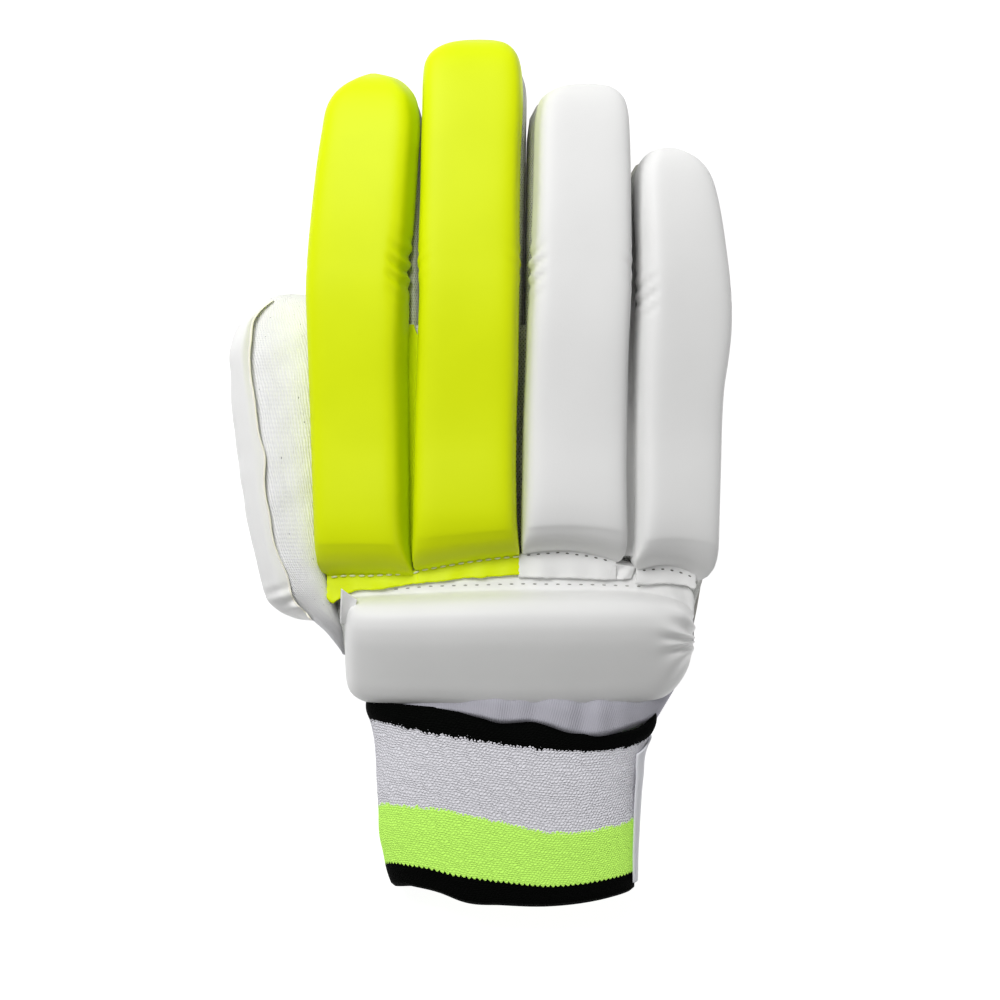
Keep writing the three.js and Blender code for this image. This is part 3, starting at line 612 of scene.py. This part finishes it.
def thumb_pad_form(around, at):
    row = along(THUMB_PAD, "row", at)
    y = upward(row)
    outer = across(along(THUMB_PAD, "outer", at))
    inner = across(along(THUMB_PAD, "inner", at))
    rise = along(THUMB_PAD, "rise", at)
    height = THUMB_PAD_HEIGHT * rise
    knit = THUMB_HEIGHT * curve(-row, -THUMB["row"], THUMB["rise"])
    # Round the outside from the raw edge on top to the bottom, then back along the knit
    outside = around <= PAD_OUTSIDE
    turn = np.where(outside, around / PAD_OUTSIDE, (1 - around) / (1 - PAD_OUTSIDE))
    angle = np.radians(96 + 152 * turn)
    centre = inner + 2.2
    thick = np.where(outside, 0, np.minimum(5.5, (centre - outer) * 0.55) * np.sin(np.pi * turn) ** 0.6)
    reach_x = centre - outer - thick
    half = height / 2
    x = centre + reach_x * signed_power(np.cos(angle), 0.62)
    z = half + (half - np.where(outside, 0, 1.4)) * signed_power(np.sin(angle), 0.8)
    # The raw edge of the vinyl lies down on the knit and wanders
    edge = np.clip(1 - turn / 0.16, 0, 1)
    wander = 0.35 * np.sin(y / 3.1) + 0.5 * np.sin(y / 7.3 + 1)
    z = np.where(edge > 0, z - edge ** 1.5 * (z - knit - np.where(outside, 1.1, 0.3)), z)
    x = x + wander * edge - 0.8 * edge
    # Dimple at the top corner, curl at the bottom
    dimple = np.exp(-((row - DIMPLE_ROW) / 4) ** 2) * np.where(outside, 1, 0) * smoothstep(0.25, 0.6, turn)
    z = z - 2.2 * dimple * np.clip(np.sin(angle), 0, 1)
    folds = smoothstep(*CURL_ROWS, row) * np.where(outside, 1, 0)
    z = z + 0.9 * folds * np.sin(row / 2.6 + x / 2.5)
    x = x + 0.35 * waves(y, z, 14, 4)
    closing = shut(at, 0.018)
    core = (outer + inner) / 2
    return core + (x - core) * closing, y, half + (np.maximum(z, 0.05) - half) * closing


thumb_pad = lay_grid("thumb_vinyl_pad", 100, 170, thumb_pad_form, joined=True)
settle(thumb_pad, "white_vinyl", WHITE_VINYL, "thumb_pad")


def raw_edge_form(around, at):
    """Cut edge of the coated cloth, a fine cord along the pad's inner edge."""
    edge_x, edge_y, edge_z = thumb_pad_form(np.zeros_like(at), 0.04 + 0.94 * at)
    turn = 2 * math.pi * around
    return edge_x + 0.4 * np.cos(turn) - 0.2, edge_y, edge_z + 0.15 + 0.3 * np.sin(turn)


raw = lay_grid("thumb_pad_raw_edge", 10, 170, raw_edge_form, joined=True)
settle(raw, "white_vinyl", RAW_EDGE, "thumb_pad")


# Wrist pad: a sewn flange along its upper edge, then foam that slopes to the wrist
WRIST_PAD_THICKNESS = 18.5
WRIST_PAD_FALL = 12
WRIST_PAD = table("column top crease low rise", [
    (343.5, 591, 603, 640, 0.08), (344, 590, 602, 670, 0.3), (345, 588, 601, 681, 0.55),
    (347.5, 586, 600, 690, 0.75), (353, 584, 598, 697, 0.9), (364, 581, 597, 702.5, 0.97),
    (385, 578, 596, 706, 1), (430, 573, 594, 708, 1), (480, 570, 592, 710, 1),
    (530, 562, 591, 710.5, 1), (580, 559, 591, 710, 1), (620, 560, 592, 708, 1),
    (645, 566, 594, 705, 0.98), (662, 572, 597, 700, 0.95), (674, 580, 600, 692, 0.9),
    (683, 584, 604, 681, 0.8), (690, 589, 609, 668, 0.62), (694, 594, 614, 655, 0.38),
    (695.5, 600, 618, 642, 0.1)])
# Where the pad falls to the wrist, its gathers and the point that they fan out from, and the
# corner that stands up at the left
FALL_ROWS = (596, 712)
GATHER_COLUMNS = (648, 690)
FAN_COLUMN = 706
FAN_ROW = 642
CORNER_COLUMNS = (362, 343)
CORNER_ROW = 603
# Down the outer side from the flange to the wrist edge: turn round the section, place from
# the flange's edge (0) past the crease (1) to the lower edge (2), and height
WRIST_PROFILE = table("turn place level", [
    (0, 0, 0.02), (0.02, 0.02, 0.07), (0.06, 0.6, 0.08), (0.09, 0.94, 0.09), (0.11, 1.0, 0.16),
    (0.13, 1.015, 0.32), (0.16, 1.04, 0.55), (0.19, 1.08, 0.74), (0.23, 1.16, 0.9), (0.28, 1.27, 0.985),
    (0.34, 1.4, 1), (0.42, 1.57, 0.955), (0.5, 1.74, 0.88), (0.56, 1.86, 0.8), (0.61, 1.94, 0.69),
    (0.65, 1.985, 0.55), (0.69, 2.005, 0.38), (0.73, 2.0, 0.2), (0.77, 1.96, 0.06), (0.82, 1.8, 0),
    (0.9, 1.0, 0), (1, 0, 0)])


def wrist_pad_form(around, at):
    column = along(WRIST_PAD, "column", at)
    x = across(column)
    top = along(WRIST_PAD, "top", at)
    crease = along(WRIST_PAD, "crease", at)
    low = along(WRIST_PAD, "low", at)
    rise = along(WRIST_PAD, "rise", at)
    run = curve(around, WRIST_PROFILE["turn"], WRIST_PROFILE["place"])
    height = curve(around, WRIST_PROFILE["turn"], WRIST_PROFILE["level"])
    row = np.where(run < 1, top + (crease - top) * run, crease + (low - crease) * (run - 1))
    y = upward(row)
    slack = 0.45 * waves(x, y, 60, 11) * height
    # Gathers that fan out from the right-hand end, and a raised corner at the left
    right = smoothstep(*GATHER_COLUMNS, column)
    fan = np.arctan2(row - FAN_ROW, FAN_COLUMN - column)
    fan_folds = np.sin(13 * fan + 0.8 * np.sin(5 * fan))
    z_fold = right * (0.9 * height + 0.25) * fan_folds + 0.4 * right * waves(x, y, 9, 21)
    x = x + 0.5 * right * height * fan_folds
    base = back_height(x) + CLEAR - WRIST_PAD_FALL * smoothstep(*FALL_ROWS, row)
    z = base + WRIST_PAD_THICKNESS * rise * height + slack + z_fold
    left = smoothstep(*CORNER_COLUMNS, column) * np.exp(-((row - CORNER_ROW) / 9) ** 2)
    return x, y, z + 1.5 * left


wrist_pad = lay_grid("wrist_foam_pad", 150, 190, wrist_pad_form, joined=True)
settle(wrist_pad, "white_vinyl", WHITE_VINYL, "wrist_pad")


# Cuff: rows of the photograph that the stripes follow, on the back of the hand
CUFF_LINES = [
    ((366, 701), (420, 706), (455, 710), (480, 716), (500, 721.5), (530, 721), (548, 725), (565, 732),
     (600, 737), (622, 731), (640, 724), (656, 718)),
    ((372, 720), (430, 735), (480, 743), (520, 749), (560, 752.5), (600, 752), (650, 742)),
    ((378, 806), (440, 812), (500, 824), (560, 835), (600, 832), (636, 822)),
    ((384, 863), (420, 868), (450, 875), (500, 882), (540, 886), (600, 881), (636, 873)),
    ((391, 885), (425, 893), (445, 901.5), (490, 905), (540, 906), (600, 900), (636, 892)),
]
# The rows where the same lines run on the palm side
CUFF_LEVELS = (700, 722, 812, 868, 888)
CUFF_SIDES = table("row left right", [
    (700, 365, 655), (712, 367, 656.5), (722, 369.5, 656.5), (735, 372, 653), (745, 373.5, 647),
    (755, 374.5, 643), (780, 376, 639.5), (810, 377.5, 637.5), (840, 379, 636.5), (855, 382, 636),
    (870, 385, 636), (887, 391, 636), (897, 396, 635.5), (906, 402, 634)])
CUFF_MIDDLE_COLUMN = 507
CUFF_HALF_COLUMNS = 130
# Shares of the outer side where the stripes meet: black, grey, neon, black
CUFF_BREAKS = (0, 0.14, 0.51, 0.83, 1)
CUFF_HEIGHT = 23
CUFF_WALL = 2.6
# Share of the piece's length that is its outer side, and its cloth's round and full length
OUTER_SHARE = 0.62
CUFF_CLOTH = (215, 106)
# Knit loops, and the larger ones where neon meets black
LOOP_WIDE = 1.15
LOOP_HIGH = 0.84
NEON_LOOP = 1.7


def cuff_row(at, column, up):
    """Row of the photograph at a share from the hand end to the mouth."""
    rows = []
    for line, level in zip(CUFF_LINES, CUFF_LEVELS):
        columns, places = zip(*line)
        rows.append(level + (curve(column, columns, places) - level) * up)
    rows = np.array(rows)
    i = np.clip(np.searchsorted(CUFF_BREAKS, at, side="right") - 1, 0, 3)
    low = np.array(CUFF_BREAKS)[i]
    high = np.array(CUFF_BREAKS)[i + 1]
    share = (at - low) / (high - low)
    pick = np.arange(len(i))
    return rows[i, pick] * (1 - share) + rows[i + 1, pick] * share


def cuff_point(around, at, out, squareness=2.5):
    """A point on the flattened tube of the cuff, or out from it."""
    side, height = squircle(around, squareness)
    up = smoothstep(-0.5, 0.6, height)
    guess = CUFF_MIDDLE_COLUMN + CUFF_HALF_COLUMNS * side
    row = cuff_row(at, guess, up)
    ends = curve(row, CUFF_SIDES["row"], CUFF_SIDES["left"])
    far = curve(row, CUFF_SIDES["row"], CUFF_SIDES["right"])
    middle = across((ends + far) / 2)
    wide = (across(far) - across(ends)) / 2
    swell = CUFF_HEIGHT / 2 * (1 - 0.1 * np.exp(-(at / 0.08) ** 2) - 0.06 * smoothstep(0.9, 1, at))
    x = middle + (wide + out) * side
    z = CUFF_HEIGHT / 2 + (swell + out) * height
    return x, upward(row), z


def cuff_form(around, at):
    # Outer side down to the mouth, round its edge, and back up the inner side
    turn = np.where(at < OUTER_SHARE, at / OUTER_SHARE, (1 - at) / (1 - OUTER_SHARE))
    inside = smoothstep(0.615, 0.632, at) * smoothstep(1, 0.985, at)
    stretch = 0.35 * waves(60 * around, 70 * turn, 26, 5) + 0.7 * np.exp(-((turn - 0.07) / 0.07) ** 2)
    x, y, z = cuff_point(around, np.clip(turn, 0, 1), -CUFF_WALL * inside + stretch * (1 - inside))
    mouth = np.sin(np.pi * np.clip((at - 0.615) / 0.017, 0, 1))
    hand_end = np.sin(np.pi * np.clip((at - 0.985) / 0.015, 0, 1))
    return x, y - 1.1 * (mouth - hand_end), z


def stripe_knit():
    """Elastic purl knit, staggered loops 1.1 mm apart: black, pale grey, neon green and black."""
    material, tree, skin = new_finish("striped_cuff_knit")
    place = uv_millimetres(tree, *CUFF_CLOTH)
    sway = add_node(tree, "ShaderNodeTexNoise", [("Vector", place)], in_Scale=0.35, in_Detail=3)
    strands = add_node(tree, "ShaderNodeTexNoise", [("Vector", place)], in_Scale=1.5, in_Detail=4)
    axes = add_node(tree, "ShaderNodeSeparateXYZ", [("Vector", place)])
    moved = join(tree, join(tree, sway.outputs["Fac"], "SUBTRACT", 0.5), "MULTIPLY", 2.2)
    rows = join(tree, join(tree, axes.outputs["Y"], "ADD", moved), "DIVIDE", LOOP_HIGH)
    stagger = join(tree, join(tree, rows, "FLOOR", 0), "MULTIPLY", 0.5)
    wales = join(tree, join(tree, axes.outputs["X"], "ADD", moved), "DIVIDE", LOOP_WIDE)
    wales = join(tree, wales, "ADD", stagger)
    beads = join(tree, join(tree, sine(tree, rows, math.pi), "ABSOLUTE", 0), "MULTIPLY",
                 join(tree, sine(tree, wales, math.pi), "ABSOLUTE", 0))
    strand = join(tree, strands.outputs["Fac"], "SUBTRACT", 0.5)
    ragged = join(tree, join(tree, strand, "MULTIPLY", 2.6), "ADD", join(tree, moved, "MULTIPLY", 1.3))
    ragged = join(tree, ragged, "ADD", join(tree, beads, "MULTIPLY", 0.9))
    # Towards the mouth the border is a clean row of neon loops
    lower = join(tree, axes.outputs["Y"], "GREATER_THAN", 47)
    calm = join(tree, join(tree, lower, "MULTIPLY", -0.75), "ADD", 1)
    loops = join(tree, sine(tree, axes.outputs["X"], math.pi / NEON_LOOP), "ABSOLUTE", 0)
    loops = join(tree, join(tree, loops, "MULTIPLY", lower), "MULTIPLY", -1.2)
    ragged = join(tree, ragged, "MULTIPLY", calm)
    edge = join(tree, join(tree, axes.outputs["Y"], "ADD", ragged), "ADD", loops)
    along_piece = join(tree, edge, "DIVIDE", CUFF_CLOTH[1])
    outer = join(tree, along_piece, "DIVIDE", OUTER_SHARE)
    back = join(tree, join(tree, along_piece, "MULTIPLY", -1), "ADD", 1)
    place_along = join(tree, outer, "MINIMUM", join(tree, back, "DIVIDE", 1 - OUTER_SHARE))
    bands = add_node(tree, "ShaderNodeValToRGB", [("Fac", place_along)])
    bands.color_ramp.interpolation = "CONSTANT"
    ramp = bands.color_ramp.elements
    ramp[0].color = tone("#020302")
    ramp[1].position = CUFF_BREAKS[1]
    ramp[1].color = tone("#F7F6FD")
    for position, code in zip(CUFF_BREAKS[2:4], ("#C6FF6C", "#020302")):
        ramp.new(position).color = tone(code)
    height = join(tree, beads, "ADD", join(tree, strand, "MULTIPLY", 1.1))
    # Painted shade: the colour is mixed towards black where the knit's relief is low, so the hollows
    # between loops are darker and the loop tops lighter; the strand noise in it also gives the yarn a
    # random tone
    light = join(tree, join(tree, join(tree, height, "SUBTRACT", 0.9), "MULTIPLY", 0.2), "ADD", 1)
    tint = add_node(tree, "ShaderNodeMix", [("Factor", light), (7, bands.outputs["Color"])],
                    data_type="RGBA", clamp_factor=True)
    tint.inputs[6].default_value = (0.001, 0.001, 0.001, 1)
    tree.links.new(skin.inputs["Base Color"], tint.outputs[2])
    # Painted glow: the neon band is given emission, so it gives back more light than the lamps give it, as
    # fluorescent yarn looks
    neon = join(tree, join(tree, place_along, "GREATER_THAN", CUFF_BREAKS[2]), "MULTIPLY",
                join(tree, place_along, "LESS_THAN", CUFF_BREAKS[3]))
    tree.links.new(skin.inputs["Emission Color"], tint.outputs[2])
    tree.links.new(skin.inputs["Emission Strength"], join(tree, neon, "MULTIPLY", 0.27))
    skin.inputs["Roughness"].default_value = 0.8
    skin.inputs["Specular IOR Level"].default_value = 0.06
    raise_surface(tree, skin, height, 0.28)
    return material


cuff = lay_grid("striped_knit_cuff", 260, 130, cuff_form, joined=True)
settle(cuff, "cuff_knit", stripe_knit(), "cuff")


# The closure strip as shares of the way round the cuff and along it, and how far it stands off
STRIP_PLACE = 0.245
STRIP_SHARE = 0.11
STRIP_ENDS = (0.19, 0.94)
STRIP_OFF = 0.35


def closure_form(around, at):
    place = STRIP_PLACE + (around - 0.5) * (STRIP_SHARE - 0.02 * at)
    x, y, z = cuff_point(place, STRIP_ENDS[0] + (STRIP_ENDS[1] - STRIP_ENDS[0]) * at, STRIP_OFF)
    return x + 0.9 * (1 - at) * smoothstep(-0.05, 0.2, at), y, z


strip = lay_grid("closure_tape_strip", 14, 80, closure_form)
thicken(strip, 0.7)
settle(strip, "closure_tape", CLOSURE, "cuff_closure")


# Gathered lining: from under the wrist pad down into the hand end of the cuff
LINING_LEFT = (354, 366)
LINING_RIGHT = (688, 655)
LINING_ROW = 672
LINING_FOLDS = (430, 520)


def lining_form(around, at):
    left = LINING_LEFT[0] + (LINING_LEFT[1] - LINING_LEFT[0]) * at
    right = LINING_RIGHT[0] + (LINING_RIGHT[1] - LINING_RIGHT[0]) * at
    side, up = hood(around, 0.5)
    column = (left + right) / 2 + (right - left) / 2 * side
    columns, places = zip(*CUFF_LINES[0])
    end = curve(column, columns, places) + 5
    row = LINING_ROW + (end - LINING_ROW) * at
    x = across(column)
    foot = PALM_LEATHER + CLEAR
    gathers = smoothstep(0.1, 0.6, at) * smoothstep(1, 0.8, at) * up * smoothstep(*LINING_FOLDS, column)
    folds = 0.9 * np.sin(column / 9.5 + 1.2 * np.sin(column / 23)) + 0.3 * np.sin(column / 4.1)
    z = foot + (back_height(x) + 0.5 - foot) * up + gathers * (2.2 + folds)
    z = z - 4.5 * smoothstep(0.82, 1, at) * up
    return x, upward(row + 4 * at), z


lining = lay_grid("lining_gathers", 260, 40, lining_form)
thicken(lining, 0.9)
settle(lining, "lining_cloth", LINING, "gathered_lining")


# Lime hem of the index roll, sewn down in the gap beside it
HEM_ROWS = (324, 562)
HEM_COLUMNS = (408, 420)


def hem_form(around, at):
    row = HEM_ROWS[0] + (HEM_ROWS[1] - HEM_ROWS[0]) * at
    wide = (HEM_COLUMNS[1] - HEM_COLUMNS[0] - 3 * at) * (1 - 0.5 * (1 - smoothstep(0, 0.08, at)))
    column = HEM_COLUMNS[0] + wide * around
    x = across(column)
    y = upward(row)
    z = back_height(x) + hand_lift(y) + CLEAR + 1.0 + 2 * (1 - around) ** 2
    return x, y, z


hem = lay_grid("lime_gap_hem", 8, 60, hem_form)
thicken(hem, 0.8)
settle(hem, "lime_vinyl", LIME_VINYL, "index_roll")


# Sewn tabs at the knuckle ends of the rolls: upper and lower edge, and how far they curl up
TABS = {
    "index": (((326, 574, 599), (331, 574, 603), (340, 574, 598), (350, 574, 592.5), (375, 574, 589.5),
               (398, 574, 586), (420, 572, 583)), 1.0),
    "middle": (((417, 571, 583), (440, 568, 581), (465, 562, 578), (480, 559, 577.5), (500, 557, 576),
                (521, 556, 574.5)), 0.8),
    "ring": (((519, 556, 577), (545, 550, 578), (575, 549, 578.5), (600, 553, 579.5),
              (617, 561, 580)), 0.8),
    "little": (((637, 565, 583), (645, 565, 584), (665, 563, 584), (682, 567, 585),
                (697, 576, 589)), 1.4),
}


def tab_form(places, curl, seed):
    columns, upper, lower = zip(*places)

    def form(around, at):
        column = columns[0] + (columns[-1] - columns[0]) * around
        top = curve(column, columns, upper)
        low = curve(column, columns, lower)
        cuts = np.arange(columns[0], columns[-1] + 4, 3.1)
        depths = np.random.default_rng(seed).uniform(-0.9, 0.9, 400)[:len(cuts)]
        ragged = np.interp(column, cuts, depths)
        row = top - 2 + (low + 0.5 * ragged - top + 2) * at
        x = across(column) + 0.25 * at * np.sin(row)
        z = back_height(x) + CLEAR + 2.6 + 0.2 * at
        z = z + curl * at ** 2 * (0.6 + 0.4 * np.sin(column / 9 + seed)) + 0.3 * np.sin(column / 5) * at
        return x, upward(row), z

    return form


for i, (finger, (places, curl)) in enumerate(TABS.items()):
    tab = lay_grid(f"{finger}_sewn_tab", 90, 14, tab_form(places, curl, i + 3))
    thicken(tab, 1.0)
    # The roll node holds both the roll and its tab
    settle(tab, *vinyl(finger), f"{finger}_roll")


# Loose cloth: a hem in the gap between the white rolls, a cut strip, and the corner of the pad
GAP_HEM = ((626, 290), (635, 290), (640, 557), (618, 556))
CUT_STRIP = ((611, 563), (636, 567), (632, 579), (608, 580))
PAD_EAR = ((342.5, 589), (357, 600), (351, 626), (341, 624))


def loose_cloth(name, corners, level, fold, wall=0.8):
    """A small sheet between four corners in the photograph, top left round to bottom left."""
    (ax, ay), (bx, by), (cx, cy), (dx, dy) = corners

    def form(around, at):
        column = (ax + (bx - ax) * around) * (1 - at) + (dx + (cx - dx) * around) * at
        row = (ay + (by - ay) * around) * (1 - at) + (dy + (cy - dy) * around) * at
        x = across(column)
        z = back_height(x) + CLEAR + level(around, at) + fold * waves(x, upward(row), 7, len(name))
        return x, upward(row), z

    made = lay_grid(name, 30, 30, form)
    thicken(made, wall)
    return made


gap_hem = loose_cloth("white_gap_hem", GAP_HEM,
                      lambda around, at: 6 + 4 * (1 - at) * at + 0.5 * at + 3 * (around - 0.5) ** 2, 0.25)
settle(gap_hem, "white_vinyl", WHITE_VINYL, "ring_roll")
cut_strip = loose_cloth("white_cut_strip", CUT_STRIP,
                        lambda around, at: 2.6 + 0.5 * np.sin(9 * around + 2 * at), 0.9, 0.5)
settle(cut_strip, "white_vinyl", WHITE_VINYL, "ring_roll")
ear = loose_cloth("wrist_pad_ear", PAD_EAR,
                  lambda around, at: 13 - 2 * at + 3.5 * (1 - around) ** 1.3 - 4 * at ** 3, 0.3, 0.9)
settle(ear, "white_vinyl", WHITE_VINYL, "wrist_pad")


# Stitches: short raised threads, or dark beads of painted shade where the thread sinks into needle holes
LIME_LINE = [(329, 577.5), (345, 576), (370, 576), (413, 573.5), (421, 570.5), (440, 567), (470, 562),
             (500, 558), (521, 556.5)]
RING_LINE = [(524, 555.5), (560, 552.5), (590, 556.5), (618, 563)]
LITTLE_LINE = [(640, 571), (656, 569.5), (668, 569.5), (682, 573), (697, 579)]
PAD_LINE = [(390, 590), (430, 586.5), (520, 584), (600, 585), (645, 587)]
# Length, width and height of what shows of one stitch
RAISED_STITCH = (2.2, 0.75, 1.2)
NEEDLE_HOLE = (1.25, 0.5, 0.34)
PAD_HOLE = (1.4, 0.45, 0.34)
# Height over the back of the hand of the tabs and of the wrist pad's flange
TAB_LEVEL = CLEAR + 2.85
FLANGE_LEVEL = CLEAR + 1.55


def stitch_row(name, points, pitch, size, material, slot, level):
    """One piece with a small bead at every pitch along a line of photograph places."""
    columns, rows = (np.array(values, float) for values in zip(*points))
    length = way_along(columns, rows)
    bpy.ops.object.select_all(action="DESELECT")
    bpy.ops.object.add(type="MESH", enter_editmode=True)
    line = bpy.context.object
    line.name = name
    for i in range(int(length[-1] / pitch)):
        here = (i + 0.5) * pitch
        column, row = np.interp(here, length, columns), np.interp(here, length, rows)
        ahead = np.interp(here + 1, length, columns), np.interp(here + 1, length, rows)
        x, y = float(across(column)), float(upward(row))
        heading = math.atan2(row - ahead[1], ahead[0] - column)
        bpy.ops.mesh.primitive_uv_sphere_add(
            segments=8, ring_count=6, radius=0.5, rotation=(0, 0, heading),
            location=[v / METRE for v in (x, y, back_height(x) + level)], scale=[v / METRE for v in size])
    # A sphere's faces come in no fixed order, so they are sorted to be the same in every run
    bpy.ops.mesh.select_all(action="SELECT")
    bpy.ops.mesh.sort_elements(type="CURSOR_DISTANCE", elements={"VERT", "EDGE", "FACE"})
    bpy.ops.object.mode_set(mode="OBJECT")
    bpy.ops.object.shade_smooth()
    return settle(line, slot, material)


stitch_row("lime_stitches", LIME_LINE, 9.2, RAISED_STITCH, THREAD, "lime_vinyl", TAB_LEVEL + 0.3)
stitch_row("white_needle_holes", RING_LINE, 9.7, NEEDLE_HOLE, HOLE_SHADE, "white_vinyl", TAB_LEVEL)
stitch_row("little_needle_holes", LITTLE_LINE, 9.4, NEEDLE_HOLE, HOLE_SHADE, "white_vinyl", TAB_LEVEL)
stitch_row("pad_needle_holes", PAD_LINE, 11.6, PAD_HOLE, SHALLOW_HOLE_SHADE, "white_vinyl", FLANGE_LEVEL)

# Palm panel: the frame's own leather, flat on the floor
palm = bpy.data.objects["palm"]
palm.data.materials.clear()
palm.data.materials.append(PALM)


# Floor, light and camera
FLOOR_GREY = 0.3
FLOOR_GLOW = 0.95
ROOM_LIGHT = 0.135
# Round soft lamps: place and size in metres, and watts
LAMPS = {"key": ((-0.28, 0.38, 0.8), 0.4, 6), "crown": ((-0.5, 1.3, 0.95), 0.5, 4.8),
         "fill": ((0.9, -0.1, 0.6), 0.5, 0.8)}
CAMERA_DISTANCE = 2.2
ROLL_LEVEL = 0.03
SENSOR = 36


def studio():
    bpy.ops.object.select_all(action="DESELECT")
    bpy.ops.mesh.primitive_plane_add(size=6, location=(0, 0, cad_low.z - 0.0003))
    floor = bpy.context.object
    floor.name = "pale_floor"
    material, tree, skin = new_finish("lit_white_table")
    skin.inputs["Base Color"].default_value = (FLOOR_GREY, FLOOR_GREY, FLOOR_GREY, 1)
    skin.inputs["Roughness"].default_value = 1
    skin.inputs["Specular IOR Level"].default_value = 0
    skin.inputs["Emission Color"].default_value = (1, 1, 1, 1)
    skin.inputs["Emission Strength"].default_value = FLOOR_GLOW
    floor.data.materials.append(material)
    world = bpy.data.worlds.new("studio")
    world.use_nodes = True
    world.node_tree.nodes["Background"].inputs["Color"].default_value = (1, 1, 1, 1)
    world.node_tree.nodes["Background"].inputs["Strength"].default_value = ROOM_LIGHT
    bpy.context.scene.world = world
    for name, (place, size, power) in LAMPS.items():
        bpy.ops.object.light_add(type="AREA", location=place)
        light = bpy.context.object
        light.name = name
        light.data.shape = "DISK"
        light.data.size = size
        light.data.energy = power
        aim = Vector((light.location.x / 3, light.location.y / 3, 0.02)) - light.location
        light.rotation_mode = "QUATERNION"
        light.rotation_quaternion = aim.to_track_quat("-Z", "Y")
    bpy.context.scene.view_settings.view_transform = "Standard"


def camera():
    """Straight above the glove, with the photograph's frame at the height of the rolls."""
    middle = PHOTO_SIDE / 2
    height = ROLL_LEVEL + CAMERA_DISTANCE
    bpy.ops.object.camera_add(location=(across(middle) / METRE, upward(middle) / METRE, height))
    eye = bpy.context.object
    eye.name = "camera"
    eye.rotation_euler = (0, 0, 0)
    eye.data.sensor_width = SENSOR
    eye.data.lens = SENSOR * CAMERA_DISTANCE * METRE / (PHOTO_SIDE * PIXEL)
    eye.data.clip_end = 50
    bpy.context.scene.camera = eye


studio()
camera()
